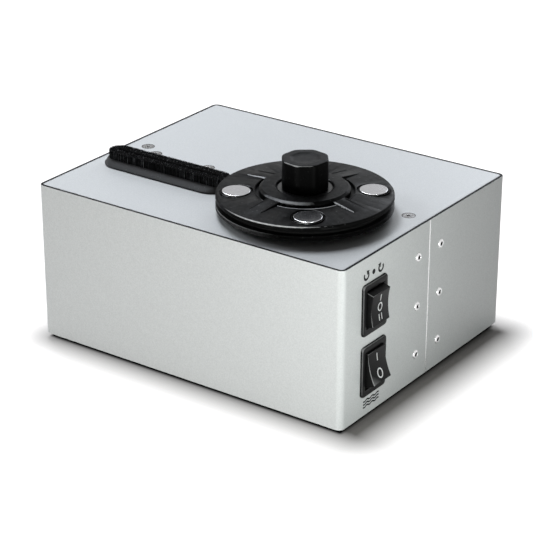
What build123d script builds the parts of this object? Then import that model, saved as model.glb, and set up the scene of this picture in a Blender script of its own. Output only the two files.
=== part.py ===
from build123d import *
import os
from math import cos, radians, sin, sqrt

# Record cleaning machine, built as an assembly of separate pieces. Millimetres.
# Origin: centre of the case's footprint on the resting plane. +X right along the front,
# +Y to the back, +Z up. The front face is at -Y and the switches are on the right face.

os.makedirs("parts", exist_ok=True)

# ---------------------------------------------------------------- driving dimensions

# Case: a sandwich panel (metal skin, black core, metal skin) wrapped round four corners
case_width = 226.0
case_depth = 182.0
wall_height = 101.0
corner_radius = 4.0
skin = 0.3
wall_core_thickness = 1.4
top_core_thickness = 2.4
panel_fit = 0.15
ground_gap = 3.5
base_recess = 1.0
base_sheet = 1.2
base_fit = 0.2

# Seam of the wrap, its backing strip and the blind rivets
seam_y = 2.0
seam_width = 0.3
rivet_offset = 12.7
rivet_pitch = 32.0
rivet_middle_height = 49.3
rivet_radius = 1.6
rivet_head_radius = 2.8
rivet_head_height = 0.9
rivet_dome = 0.7
rivet_tail_radius = 2.2
rivet_tail_length = 2.5
mandrel_radius = 0.9
strip_thickness = 1.5
strip_margin = 7.0

# Screws
small_fit = 0.05
csk_head_radius = 3.8
csk_head_rim = 0.3
csk_shank_radius = 1.5
csk_length = 8.0
csk_clearance = 1.0
recess_arm = 3.4
recess_width = 0.8
recess_depth = 1.1
pan_head_radius = 2.8
pan_head_height = 1.8
pan_shank_radius = 1.5
pan_shank_length = 6.0
nut_radius = 3.0
nut_height = 2.4

# Uprights that carry the top panel
upright_screw_inset = 14.0
upright_web_inset = 6.5
upright_flange_reach = 6.0
upright_sheet = 1.5
upright_depth = 12.0

# Feet
foot_inset = 22.0
foot_radius = 8.0
foot_pocket_radius = 3.6
foot_pocket_depth = 2.4
foot_chamfer = 0.9

# Spindle and its bearing
spindle_from_right = 67.8
spindle_from_front = 60.3
shaft_radius = 4.0
running_fit = 0.05
bush_wall = 2.0
bush_length = 10.0
spigot_radius = 11.0
spigot_rise = 0.4
spigot_fit = 0.1
barrel_radius = 13.0
barrel_length = 22.5
bearing_flange_radius = 39.0
bearing_flange_thickness = 5.0
bearing_screw_circle = 23.0
thrust_washer_thickness = 0.8
thrust_washer_radius = 9.0
thrust_gap = 0.1
hub_flange_radius = 14.0
hub_flange_thickness = 2.0
pin_radius = 3.6
pin_top = 17.0
thread_radius = 3.0
thread_top = 30.0
thread_chamfer = 1.0

# Platter
platter_radius = 53.4
platter_low = 3.6
platter_high = 6.4
platter_groove_depth = 0.45
platter_groove_count = 3
platter_rib_radius = 46.0
platter_rib_width = 3.0
platter_rib_depth = 1.2
platter_screw_circle = 9.5
platter_screw_count = 3
mat_radius = 50.0
mat_hole_radius = 16.5
mat_thickness = 1.4
seal_gap = 0.2
seal_thickness = 1.45
seal_hole_radius = 37.0

# Record clamp, its raised hub ring, ramps and polished discs
clamp_turn = 37.0
clamp_rim_top = 12.5
clamp_edge_round = 0.9
clamp_under_chamfer = 0.5
clamp_face_rise = 1.5
clamp_fit = 0.08
ring_outer_radius = 27.4
ring_bevel = 1.6
ring_bevel_drop = 1.3
ring_top = 16.5
ring_groove_width = 2.5
ring_groove_depth = 2.0
well_radius = 17.5
well_round = 0.4
washer_seat = 14.8
washer_thickness = 0.8
washer_radius = 16.3
ramp_width = 9.7
ramp_reach = 43.3
ramp_count = 4
disc_count = 4
disc_circle_radius = 40.9
disc_radius = 8.45
disc_height = 2.1
disc_top = 14.0
disc_edge_round = 0.35
disc_recess_radius = 10.2
disc_recess_depth = 1.1
disc_bead_radius = 9.4
disc_bead_width = 0.5

# Knob with concave faces and its threaded insert
knob_sides = 8
knob_corner_radius = 15.3
knob_hollow = 0.75
knob_low = 15.7
knob_top = 34.3
knob_edge = 0.6
insert_radius = 5.5
insert_depth = 15.8
insert_relief = 4.0

# Suction nozzle with its bristle strip: from a record's outer groove to its label
nozzle_from_left = 7.3
nozzle_inner_reach = 55.2
nozzle_width = 27.0
nozzle_edge = 0.9
nozzle_height = 3.4
bristle_width = 14.4
bristle_top = 9.0
bristle_seat = 1.0
bristle_end_margin = 1.8
bristle_wall = 5.9
bristle_round = 0.8
slot_width = 3.0
slot_end_margin = 13.0
nozzle_screw_margin = 6.3

# Suction duct under the top panel
duct_width = 18.0
duct_depth = 12.0
duct_wall = 1.5
duct_flange_thickness = 2.0
duct_flange_reach = 12.0
duct_ear_width = 9.0
duct_ear_reach = 27.8
duct_screw_back = 23.3
duct_screw_left = 18.7
duct_screw_right = 60.9
spout_radius = 8.0
spout_reach = 14.0
spout_inset = 22.0

# Waste tank, its lid and drain
tank_side_gap = 5.0
tank_front_gap = 4.0
tank_motor_gap = 5.5
tank_back_reach = 12.5
tank_wall = 2.0
tank_corner = 5.0
tank_lift = 3.0
gasket_thickness = 1.2
lid_thickness = 2.5
lid_lip = 4.0
port_fit = 0.2
drain_from_front = 51.0
drain_height = 13.5
drain_radius = 4.0
drain_bore = 2.5
drain_nut_radius = 6.5
drain_reach = 9.0
cap_radius = 6.0
cap_end = 1.5
cap_round = 0.7

# Vacuum fan and its motor
fan_from_left = 68.0
fan_back_gap = 7.0
fan_mount_height = 4.3
fan_mount_radius = 5.0
fan_mount_circle = 24.0
fan_mount_count = 3
fan_motor_radius = 32.0
fan_motor_height = 40.0
fan_motor_round = 2.8
fan_radius = 40.0
fan_height = 30.0
fan_wall = 1.5
fan_clearance = 3.0
impeller_thickness = 1.2
impeller_hub_radius = 7.0
impeller_eye_radius = 12.0
blade_count = 9
fan_shaft_radius = 3.0
fan_shaft_depth = 18.0
hose_radius = 7.0
hose_wall = 1.5
hose_bend = 9.0
hose_straight = 5.8
hose_top_gap = 2.5
hose_from_tank_side = 13.5
hose_from_tank_front = 20.0
neck_height = 3.0
exhaust_width = 34.0
exhaust_height = 22.0
vent_count = 7
vent_width = 2.4
vent_pitch = 4.6
vent_height = 16.0

# Gear motor
standoff_circle = 33.0
standoff_radius = 4.0
motor_plate_top = 52.0
motor_plate_thickness = 2.0
motor_plate_size = 62.0
gearbox_radius = 27.0
gearbox_height = 20.0
gearbox_boss_radius = 9.0
gearbox_boss_rise = 1.0
gearbox_bore_depth = 10.0
gearbox_screw_circle = 18.0
motor_radius = 29.0
motor_height = 20.0
motor_rib_depth = 1.0
shaft_gap = 2.0
coupling_radius = 10.0
coupling_length = 14.0

# Rocker switches
switch_front = 32.3
motor_switch_height = 68.6
vacuum_switch_height = 29.2
bezel_width = 25.6
bezel_height = 32.6
bezel_thickness = 1.5
bezel_corner = 2.5
bezel_edge = 0.5
switch_body_width = 22.6
switch_body_height = 27.4
switch_body_depth = 24.0
switch_fit = 0.2
rocker_mouth_width = 18.6
rocker_mouth_height = 24.4
rocker_mouth_depth = 15.0
rocker_width = 18.0
rocker_half_height = 11.0
rocker_lip_half_height = 9.9
rocker_lip_rise = 4.1
rocker_dip = 1.2
rocker_lip_length = 4.1
rocker_root_half_height = 6.5
rocker_root_depth = 7.5
rocker_pivot_depth = 3.5
rocker_pin_radius = 1.5
rocker_pin_reach = 1.3
rocker_edge = 0.5
rocker_tilt = 14.0
terminal_length = 8.0
terminal_width = 4.8
terminal_thickness = 0.8
terminal_spacing = 8.0

# Mains inlet at the back
inlet_from_right = 43.0
inlet_height = 30.0
inlet_flange_width = 50.0
inlet_flange_height = 24.0
inlet_flange_thickness = 3.0
inlet_flange_corner = 3.0
inlet_body_width = 28.0
inlet_body_height = 20.0
inlet_body_depth = 19.0
inlet_socket_width = 24.0
inlet_socket_height = 16.0
inlet_socket_depth = 17.0
inlet_socket_corner = 3.5
inlet_screw_spacing = 40.0
inlet_pin_length = 11.0
inlet_pin_width = 2.0
inlet_pin_height = 4.0
inlet_pin_spacing = 7.0
inlet_pin_rise = 2.0

# Control board
board_from_right = 55.0
board_from_back = 49.0
board_width = 66.0
board_depth = 44.0
board_thickness = 1.6
board_lift = 6.0
board_post_radius = 2.5
board_post_inset = 4.0
capacitor_radius = 8.0
capacitor_height = 26.0
lead_radius = 1.3
lead_bend = 3.0
lead_rise = 4.5
lead_pitch = 4.2
lead_gap = 3.5
relay_width = 16.0
relay_depth = 12.0
relay_height = 15.0

# ---------------------------------------------------------------- derived sizes

wall_thickness = 2 * skin + wall_core_thickness
top_thickness = 2 * skin + top_core_thickness
walls_low = ground_gap
top_face = ground_gap + wall_height
top_under = top_face - top_thickness
inner_width = case_width - 2 * wall_thickness
inner_depth = case_depth - 2 * wall_thickness
base_under = walls_low + base_recess
base_top = base_under + base_sheet
strip_low = walls_low + rivet_middle_height - rivet_pitch - strip_margin
base_flange_height = strip_low - base_fit - base_under
right_face = case_width / 2
front_face = -case_depth / 2
back_face = case_depth / 2
left_face = -case_width / 2
spindle_x = right_face - spindle_from_right
spindle_y = front_face + spindle_from_front
fan_x = left_face + fan_from_left
fan_y = back_face - wall_thickness - fan_radius - fan_back_gap
tank_left = left_face + wall_thickness + tank_side_gap
tank_right = spindle_x - motor_radius - tank_motor_gap
tank_front = front_face + wall_thickness + tank_front_gap
tank_back = spindle_y + tank_back_reach
drain_y = front_face + drain_from_front
hose_height = top_under - hose_top_gap - hose_radius
tank_rim = hose_height - hose_bend - hose_straight - gasket_thickness
hose_x = tank_right - hose_from_tank_side
hose_start_y = tank_front + hose_from_tank_front
inlet_x = right_face - inlet_from_right
board_x = right_face - board_from_right
board_y = back_face - board_from_back
UP = (Align.CENTER, Align.CENTER, Align.MIN)
DOWN = (Align.CENTER, Align.CENTER, Align.MAX)
on_right = Plane.YZ.offset(right_face)
on_left = Plane.YZ.offset(left_face)
on_back = Plane.XZ.offset(-back_face)

seam_spots = [
    (seam_y + side * rivet_offset, walls_low + rivet_middle_height + row * rivet_pitch)
    for side in (-1, 1)
    for row in (-1, 0, 1)
]
switch_y = front_face + switch_front
motor_switch_z = walls_low + motor_switch_height
vacuum_switch_z = walls_low + vacuum_switch_height
switch_spots = [(switch_y, motor_switch_z), (switch_y, vacuum_switch_z)]
inlet_z = walls_low + inlet_height
inlet_screw_spots = [
    (inlet_x + side * inlet_screw_spacing / 2, inlet_z) for side in (-1, 1)
]
upright_x = case_width / 2 - upright_screw_inset
upright_spots = [(side * upright_x, 0) for side in (-1, 1)]
foot_spots = [
    (sx * (case_width / 2 - foot_inset), sy * (case_depth / 2 - foot_inset))
    for sx in (-1, 1)
    for sy in (-1, 1)
]


def circle_spots(x, y, radius, count, start):
    """Places evenly round a circle about (x, y), the first one at the angle start."""
    turns = [radians(start + k * 360 / count) for k in range(count)]
    return [(x + radius * cos(a), y + radius * sin(a)) for a in turns]


def turned(points, x, y):
    """Add a solid of revolution about the upright line through (x, y) to this part."""
    side = Plane(origin=(x, y, 0), x_dir=(1, 0, 0), z_dir=(0, -1, 0))
    with BuildSketch(side) as profile:
        with BuildLine():
            Polyline(*points, close=True)
        make_face()
    revolve(profile.sketch, axis=Axis((x, y, 0), (0, 0, 1)))


def tube_points(inner, outer, low, high):
    """Closed half profile of a plain ring."""
    return [(inner, low), (outer, low), (outer, high), (inner, high)]


bearing_screw_spots = circle_spots(spindle_x, spindle_y, bearing_screw_circle, 4, 0)
standoff_spots = circle_spots(spindle_x, spindle_y, standoff_circle, 4, 45)
nozzle_left = left_face + nozzle_from_left
nozzle_right = spindle_x - nozzle_inner_reach
nozzle_x = (nozzle_left + nozzle_right) / 2
nozzle_length = nozzle_right - nozzle_left
slot_length = nozzle_length - 2 * slot_end_margin
nozzle_screw_spots = [
    (nozzle_left + nozzle_screw_margin, spindle_y),
    (nozzle_right - nozzle_screw_margin, spindle_y),
]
duct_screw_spots = [
    (nozzle_left + duct_screw_left, spindle_y + duct_screw_back),
    (nozzle_left + duct_screw_right, spindle_y + duct_screw_back),
]
top_screw_spots = upright_spots + duct_screw_spots
spout_x = nozzle_left + spout_inset
lid_top = tank_rim + gasket_thickness + lid_thickness
lid_under = tank_rim + gasket_thickness
drain_z = walls_low + drain_height
fan_low = base_top + fan_mount_height
fan_housing_low = fan_low + fan_motor_height
fan_housing_high = fan_housing_low + fan_height
fan_vent_z = fan_housing_low + fan_height / 2

# ---------------------------------------------------------------- shared tools

# Countersunk screw with a cross recess, its head flush at z = 0
with BuildPart() as csk_screw:
    cone_end = csk_head_rim + csk_head_radius - csk_shank_radius
    turned(
        [
            (0, 0),
            (csk_head_radius, 0),
            (csk_head_radius, -csk_head_rim),
            (csk_shank_radius, -cone_end),
            (csk_shank_radius, -csk_length),
            (0, -csk_length),
        ],
        0,
        0,
    )
    Box(recess_arm, recess_width, recess_depth, align=DOWN, mode=Mode.SUBTRACT)
    Box(recess_width, recess_arm, recess_depth, align=DOWN, mode=Mode.SUBTRACT)

# The space that such a screw needs, for cutting
with BuildPart() as csk_space:
    turned(
        [
            (0, csk_clearance),
            (csk_head_radius + small_fit, csk_clearance),
            (csk_head_radius + small_fit, -csk_head_rim),
            (csk_shank_radius + small_fit, -cone_end),
            (csk_shank_radius + small_fit, -csk_length - csk_clearance),
            (0, -csk_length - csk_clearance),
        ],
        0,
        0,
    )

# Pan head with a cross recess, its underside at z = 0, and the same with its shank
with BuildPart() as pan_head:
    Cylinder(pan_head_radius, pan_head_height, align=UP)
    fillet(pan_head.edges().group_by(Axis.Z)[-1], pan_head_height / 2)
    with Locations((0, 0, pan_head_height)):
        Box(recess_arm, recess_width, recess_depth, align=DOWN, mode=Mode.SUBTRACT)
        Box(recess_width, recess_arm, recess_depth, align=DOWN, mode=Mode.SUBTRACT)
with BuildPart() as pan_screw:
    add(pan_head.part)
    Cylinder(pan_shank_radius, pan_shank_length, align=DOWN)


def cut_top_holes():
    """Cut every hole of the top panel out of the layer being built."""
    with Locations(*[(x, y, top_face) for x, y in top_screw_spots + bearing_screw_spots]):
        add(csk_space.part, mode=Mode.SUBTRACT)
    with Locations((spindle_x, spindle_y, top_under)):
        Cylinder(
            spigot_radius + spigot_fit, top_thickness, align=UP, mode=Mode.SUBTRACT
        )
    with Locations(*[(x, y, top_under) for x, y in nozzle_screw_spots]):
        Cylinder(
            pan_shank_radius + small_fit, top_thickness, align=UP, mode=Mode.SUBTRACT
        )
    with BuildSketch(Plane.XY.offset(top_under)) as slot:
        with Locations((nozzle_x, spindle_y)):
            SlotOverall(slot_length, slot_width)
    extrude(slot.sketch, amount=top_thickness, mode=Mode.SUBTRACT)


def cut_wall_holes():
    """Cut the seam and every hole of the walls out of the layer being built."""
    through = 3 * wall_thickness
    with BuildSketch(on_right.offset(-through / 2)) as right_holes:
        with Locations(*seam_spots):
            Circle(rivet_radius + small_fit)
        with Locations(*switch_spots):
            Rectangle(
                switch_body_width + 2 * switch_fit, switch_body_height + 2 * switch_fit
            )
        with Locations((seam_y, walls_low + wall_height / 2)):
            Rectangle(seam_width, wall_height)
    extrude(right_holes.sketch, amount=through, mode=Mode.SUBTRACT)
    with BuildSketch(on_left.offset(-through / 2)) as left_holes:
        with Locations((drain_y, drain_z)):
            Circle(drain_radius + small_fit)
    extrude(left_holes.sketch, amount=through, mode=Mode.SUBTRACT)
    with BuildSketch(on_back.offset(-through / 2)) as back_holes:
        with Locations((inlet_x, inlet_z)):
            Rectangle(
                inlet_body_width + 2 * switch_fit, inlet_body_height + 2 * switch_fit
            )
        with Locations(*inlet_screw_spots):
            Circle(pan_shank_radius + small_fit)
        with Locations((fan_x, fan_vent_z)):
            with GridLocations(vent_pitch, 0, vent_count, 1):
                SlotOverall(vent_height, vent_width, rotation=90)
    extrude(back_holes.sketch, amount=through, mode=Mode.SUBTRACT)


def rounded_ring(inset, thickness):
    """Sketch one closed layer of the wrap, inset from the case's outer face."""
    width, depth = case_width - 2 * inset, case_depth - 2 * inset
    RectangleRounded(width, depth, corner_radius - inset)
    RectangleRounded(
        width - 2 * thickness,
        depth - 2 * thickness,
        corner_radius - inset - thickness,
        mode=Mode.SUBTRACT,
    )


# ---------------------------------------------------------------- case

# Metal skins of the wrap: an outer and an inner sheet, butted at the seam
with BuildPart() as wall_skins:
    with BuildSketch(Plane.XY.offset(walls_low)):
        rounded_ring(0, skin)
        rounded_ring(skin + wall_core_thickness, skin)
    extrude(amount=wall_height)
    cut_wall_holes()
wall_skins.part.label = "wall_skins"
export_step(wall_skins.part, "parts/wall_skins.step")

# Black core of the wrap, bare along the top edge
with BuildPart() as wall_core:
    with BuildSketch(Plane.XY.offset(walls_low)):
        rounded_ring(skin, wall_core_thickness)
    extrude(amount=wall_height)
    cut_wall_holes()
wall_core.part.label = "wall_core"
export_step(wall_core.part, "parts/wall_core.step")

# Top panel, set flush between the walls
top_width = inner_width - 2 * panel_fit
top_depth = inner_depth - 2 * panel_fit
top_corner = corner_radius - wall_thickness - panel_fit
with BuildPart() as top_skins:
    for low in (top_under, top_face - skin):
        with BuildSketch(Plane.XY.offset(low)):
            RectangleRounded(top_width, top_depth, top_corner)
        extrude(amount=skin)
    cut_top_holes()
top_skins.part.label = "top_skins"
export_step(top_skins.part, "parts/top_skins.step")

with BuildPart() as top_core:
    with BuildSketch(Plane.XY.offset(top_under + skin)):
        RectangleRounded(top_width, top_depth, top_corner)
    extrude(amount=top_core_thickness)
    cut_top_holes()
top_core.part.label = "top_core"
export_step(top_core.part, "parts/top_core.step")

# Folded steel base tray with clinched nuts for the feet, its flange inside the walls
tray_width = inner_width - 2 * base_fit
tray_depth = inner_depth - 2 * base_fit
tray_corner = corner_radius - wall_thickness - base_fit
base_hole_spots = foot_spots + upright_spots
with BuildPart() as base_tray:
    with BuildSketch(Plane.XY.offset(base_under)):
        RectangleRounded(tray_width, tray_depth, tray_corner)
    extrude(amount=base_flange_height)
    with BuildSketch(Plane.XY.offset(base_top)):
        RectangleRounded(
            tray_width - 2 * base_sheet,
            tray_depth - 2 * base_sheet,
            tray_corner - base_sheet,
        )
    extrude(amount=base_flange_height, mode=Mode.SUBTRACT)
    with Locations(*[(x, y, base_top) for x, y in foot_spots]):
        Cylinder(nut_radius, nut_height, align=UP)
    with Locations(*[(x, y, base_under) for x, y in base_hole_spots]):
        Cylinder(
            pan_shank_radius + small_fit,
            base_sheet + nut_height,
            align=UP,
            mode=Mode.SUBTRACT,
        )
    with BuildSketch(Plane.XY.offset(base_under)):
        with Locations((spindle_x, spindle_y)):
            with GridLocations(vent_pitch, 0, vent_count, 1):
                SlotOverall(vent_height, vent_width, rotation=90)
    extrude(amount=base_sheet, mode=Mode.SUBTRACT)
    with BuildSketch(on_left):
        with Locations((drain_y, drain_z)):
            Circle(drain_nut_radius + small_fit)
    extrude(amount=2 * wall_thickness + base_sheet, mode=Mode.SUBTRACT)
base_tray.part.label = "base_tray"
export_step(base_tray.part, "parts/base_tray.step")

# Strip behind the seam
strip_height = 2 * (rivet_pitch + strip_margin)
strip_width = 2 * (rivet_offset + strip_margin)
inner_right = inner_width / 2
with BuildPart() as seam_strip:
    with BuildSketch(Plane.YZ.offset(inner_right - strip_thickness)):
        with Locations((seam_y, strip_low + strip_height / 2)):
            Rectangle(strip_width, strip_height)
        with Locations(*seam_spots):
            Circle(rivet_radius + small_fit, mode=Mode.SUBTRACT)
    extrude(amount=strip_thickness)
seam_strip.part.label = "seam_strip"
export_step(seam_strip.part, "parts/seam_strip.step")

# Blind rivets: domed head outside, shank through wall and strip, swollen tail inside
tail_start = inner_right - strip_thickness
with BuildPart() as seam_rivets:
    with BuildSketch(on_right):
        with Locations(*seam_spots):
            Circle(rivet_head_radius)
    extrude(amount=rivet_head_height)
    fillet(seam_rivets.edges().group_by(Axis.X)[-1], rivet_dome)
    with BuildSketch(Plane.YZ.offset(tail_start)):
        with Locations(*seam_spots):
            Circle(rivet_radius)
    extrude(amount=right_face - tail_start)
    with BuildSketch(Plane.YZ.offset(tail_start - rivet_tail_length)):
        with Locations(*seam_spots):
            Circle(rivet_tail_radius)
    extrude(amount=rivet_tail_length)
    with BuildSketch(on_right.offset(rivet_head_height)):
        with Locations(*seam_spots):
            Circle(mandrel_radius)
    extrude(amount=-rivet_head_height, mode=Mode.SUBTRACT)
seam_rivets.part.label = "seam_rivets"
export_step(seam_rivets.part, "parts/seam_rivets.step")


# Uprights: folded channels from the tray to the top panel, with clinched nuts
def upright(side):
    """Build one channel inside this part; side is -1 on the left, 1 on the right."""
    web = side * (upright_x - upright_web_inset)
    tip = side * (upright_x + upright_flange_reach)
    web_inner = web + side * upright_sheet
    with BuildSketch(Plane.XZ.offset(-upright_depth / 2)) as channel:
        with BuildLine():
            Polyline(
                (web, base_top),
                (tip, base_top),
                (tip, base_top + upright_sheet),
                (web_inner, base_top + upright_sheet),
                (web_inner, top_under - upright_sheet),
                (tip, top_under - upright_sheet),
                (tip, top_under),
                (web, top_under),
                close=True,
            )
        make_face()
    extrude(channel.sketch, amount=upright_depth)
    screw_x = side * upright_x
    with Locations((screw_x, 0, top_under - upright_sheet)):
        Cylinder(nut_radius, nut_height, align=DOWN)
    with Locations((screw_x, 0, base_top + upright_sheet)):
        Cylinder(nut_radius, nut_height, align=UP)
    with Locations((screw_x, 0, base_top)):
        Cylinder(
            csk_shank_radius + small_fit,
            top_under - base_top,
            align=UP,
            mode=Mode.SUBTRACT,
        )


with BuildPart() as left_upright:
    upright(-1)
left_upright.part.label = "left_upright"
export_step(left_upright.part, "parts/left_upright.step")

with BuildPart() as right_upright:
    upright(1)
right_upright.part.label = "right_upright"
export_step(right_upright.part, "parts/right_upright.step")

# Eight countersunk screws of the top panel: uprights, suction duct and bearing flange
with BuildPart() as top_screws:
    with Locations(*[(x, y, top_face) for x, y in top_screw_spots + bearing_screw_spots]):
        add(csk_screw.part)
top_screws.part.label = "top_screws"
export_step(top_screws.part, "parts/top_screws.step")

# Six screws from below: two into the uprights, four through the feet
with BuildPart() as tray_screws:
    for x, y in upright_spots:
        with Locations(Location((x, y, base_under), (180, 0, 0))):
            add(pan_screw.part)
    for x, y in foot_spots:
        with Locations(Location((x, y, foot_pocket_depth), (180, 0, 0))):
            add(pan_screw.part)
tray_screws.part.label = "tray_screws"
export_step(tray_screws.part, "parts/tray_screws.step")

# Rubber feet with a pocket for the screw head
with BuildPart() as feet:
    with Locations(*[(x, y, 0) for x, y in foot_spots]):
        Cylinder(foot_radius, base_under, align=UP)
    chamfer(feet.edges().group_by(Axis.Z)[0], foot_chamfer)
    with Locations(*[(x, y, 0) for x, y in foot_spots]):
        Cylinder(foot_pocket_radius, foot_pocket_depth, align=UP, mode=Mode.SUBTRACT)
        Cylinder(
            pan_shank_radius + small_fit, base_under, align=UP, mode=Mode.SUBTRACT
        )
feet.part.label = "feet"
export_step(feet.part, "parts/feet.step")

# ---------------------------------------------------------------- spindle and platter

# Flanged bearing housing bolted under the top panel, its spigot just proud of it
bearing_low = top_under - bearing_flange_thickness - barrel_length
spigot_top = top_face + spigot_rise
bush_radius = shaft_radius + running_fit + bush_wall
with BuildPart() as bearing_housing:
    turned(
        [
            (bush_radius, bearing_low),
            (barrel_radius, bearing_low),
            (barrel_radius, top_under - bearing_flange_thickness),
            (bearing_flange_radius, top_under - bearing_flange_thickness),
            (bearing_flange_radius, top_under),
            (spigot_radius, top_under),
            (spigot_radius, spigot_top),
            (bush_radius, spigot_top),
        ],
        spindle_x,
        spindle_y,
    )
    flange_low = top_under - bearing_flange_thickness
    with Locations(*[(x, y, flange_low) for x, y in bearing_screw_spots]):
        Cylinder(
            csk_shank_radius + small_fit,
            bearing_flange_thickness,
            align=UP,
            mode=Mode.SUBTRACT,
        )
    with Locations(*[(x, y, flange_low) for x, y in standoff_spots]):
        Cylinder(
            pan_shank_radius + small_fit,
            bearing_flange_thickness,
            align=UP,
            mode=Mode.SUBTRACT,
        )
bearing_housing.part.label = "bearing_housing"
export_step(bearing_housing.part, "parts/bearing_housing.step")

with BuildPart() as bearing_bushes:
    for low in (bearing_low, spigot_top - bush_length):
        turned(
            tube_points(
                shaft_radius + running_fit, bush_radius, low, low + bush_length
            ),
            spindle_x,
            spindle_y,
        )
bearing_bushes.part.label = "bearing_bushes"
export_step(bearing_bushes.part, "parts/bearing_bushes.step")

washer_top = spigot_top + thrust_washer_thickness
with BuildPart() as thrust_washer:
    turned(
        tube_points(
            shaft_radius + running_fit, thrust_washer_radius, spigot_top, washer_top
        ),
        spindle_x,
        spindle_y,
    )
thrust_washer.part.label = "thrust_washer"
export_step(thrust_washer.part, "parts/thrust_washer.step")

# Spindle: bearing shaft, hub flange, plain pin for the record's hole, threaded tip
coupling_high = bearing_low - shaft_radius
shaft_low = coupling_high - (coupling_length - shaft_gap) / 2
hub_low = washer_top + thrust_gap
hub_high = hub_low + hub_flange_thickness
pin_high = top_face + pin_top
thread_high = top_face + thread_top
platter_screw_spots = circle_spots(
    spindle_x, spindle_y, platter_screw_circle, platter_screw_count, 90
)
with BuildPart() as spindle_shaft:
    turned(
        [
            (0, shaft_low),
            (shaft_radius, shaft_low),
            (shaft_radius, hub_low),
            (hub_flange_radius, hub_low),
            (hub_flange_radius, hub_high),
            (pin_radius, hub_high),
            (pin_radius, pin_high),
            (thread_radius, pin_high),
            (thread_radius, thread_high - thread_chamfer),
            (thread_radius - thread_chamfer, thread_high),
            (0, thread_high),
        ],
        spindle_x,
        spindle_y,
    )
    with Locations(*[(x, y, hub_low) for x, y in platter_screw_spots]):
        Cylinder(
            csk_shank_radius + small_fit,
            hub_flange_thickness,
            align=UP,
            mode=Mode.SUBTRACT,
        )
spindle_shaft.part.label = "spindle_shaft"
export_step(spindle_shaft.part, "parts/spindle_shaft.step")

# Platter with a finely grooved rim and a stiffening rib underneath
platter_bottom = top_face + platter_low
platter_face = top_face + platter_high
groove_pitch = (platter_face - platter_bottom) / (platter_groove_count + 1)
rim_points = [(platter_radius, platter_bottom)]
for k in range(1, platter_groove_count + 1):
    middle = platter_bottom + k * groove_pitch
    rim_points += [
        (platter_radius, middle - groove_pitch / 4),
        (platter_radius - platter_groove_depth, middle),
        (platter_radius, middle + groove_pitch / 4),
    ]
rim_points += [(platter_radius, platter_face)]
rib_outer = platter_rib_radius + platter_rib_width
with BuildPart() as platter:
    turned(
        [
            (pin_radius + small_fit, hub_high),
            (platter_rib_radius, hub_high),
            (platter_rib_radius, hub_high - platter_rib_depth),
            (rib_outer, hub_high - platter_rib_depth),
            (rib_outer, platter_bottom),
            *rim_points,
            (pin_radius + small_fit, platter_face),
        ],
        spindle_x,
        spindle_y,
    )
    with Locations(*[(x, y, platter_face) for x, y in platter_screw_spots]):
        add(csk_space.part, mode=Mode.SUBTRACT)
platter.part.label = "platter"
export_step(platter.part, "parts/platter.step")

with BuildPart() as platter_screw:
    add(csk_screw.part)
    split(bisect_by=Plane.XY.offset(hub_low - platter_face), keep=Keep.TOP)
with BuildPart() as platter_screws:
    with Locations(*[(x, y, platter_face) for x, y in platter_screw_spots]):
        add(platter_screw.part)
platter_screws.part.label = "platter_screws"
export_step(platter_screws.part, "parts/platter_screws.step")

mat_top = platter_face + mat_thickness
with BuildPart() as platter_mat:
    turned(
        tube_points(mat_hole_radius, mat_radius, platter_face, mat_top),
        spindle_x,
        spindle_y,
    )
platter_mat.part.label = "platter_mat"
export_step(platter_mat.part, "parts/platter_mat.step")

# ---------------------------------------------------------------- record clamp

seal_low = mat_top + seal_gap
clamp_low = seal_low + seal_thickness
with BuildPart() as clamp_seal:
    turned(
        tube_points(seal_hole_radius, mat_radius, seal_low, clamp_low),
        spindle_x,
        spindle_y,
    )
clamp_seal.part.label = "clamp_seal"
export_step(clamp_seal.part, "parts/clamp_seal.step")

# Clamp: thin rim, gently rising face, raised hub ring with a well, four ramps
rim_top = top_face + clamp_rim_top
rim_inner = platter_radius - clamp_edge_round
face_inner = ring_outer_radius + ring_groove_width
face_top = rim_top + clamp_face_rise
ring_high = top_face + ring_top
well_floor = top_face + washer_seat
face_slope = clamp_face_rise / (rim_inner - face_inner)
edge_mid = clamp_edge_round * (1 - sqrt(0.5))
clamp_bore = pin_radius + clamp_fit


def face_height(radius):
    """Height of the clamp's face at a distance from the spindle."""
    return rim_top + (rim_inner - radius) * face_slope


def clamp_plane(turn):
    """Upright plane through the spindle, its x pointing outward at an angle."""
    a = radians(turn)
    return Plane(
        origin=(spindle_x, spindle_y, 0),
        x_dir=(cos(a), sin(a), 0),
        z_dir=(sin(a), -cos(a), 0),
    )


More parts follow.
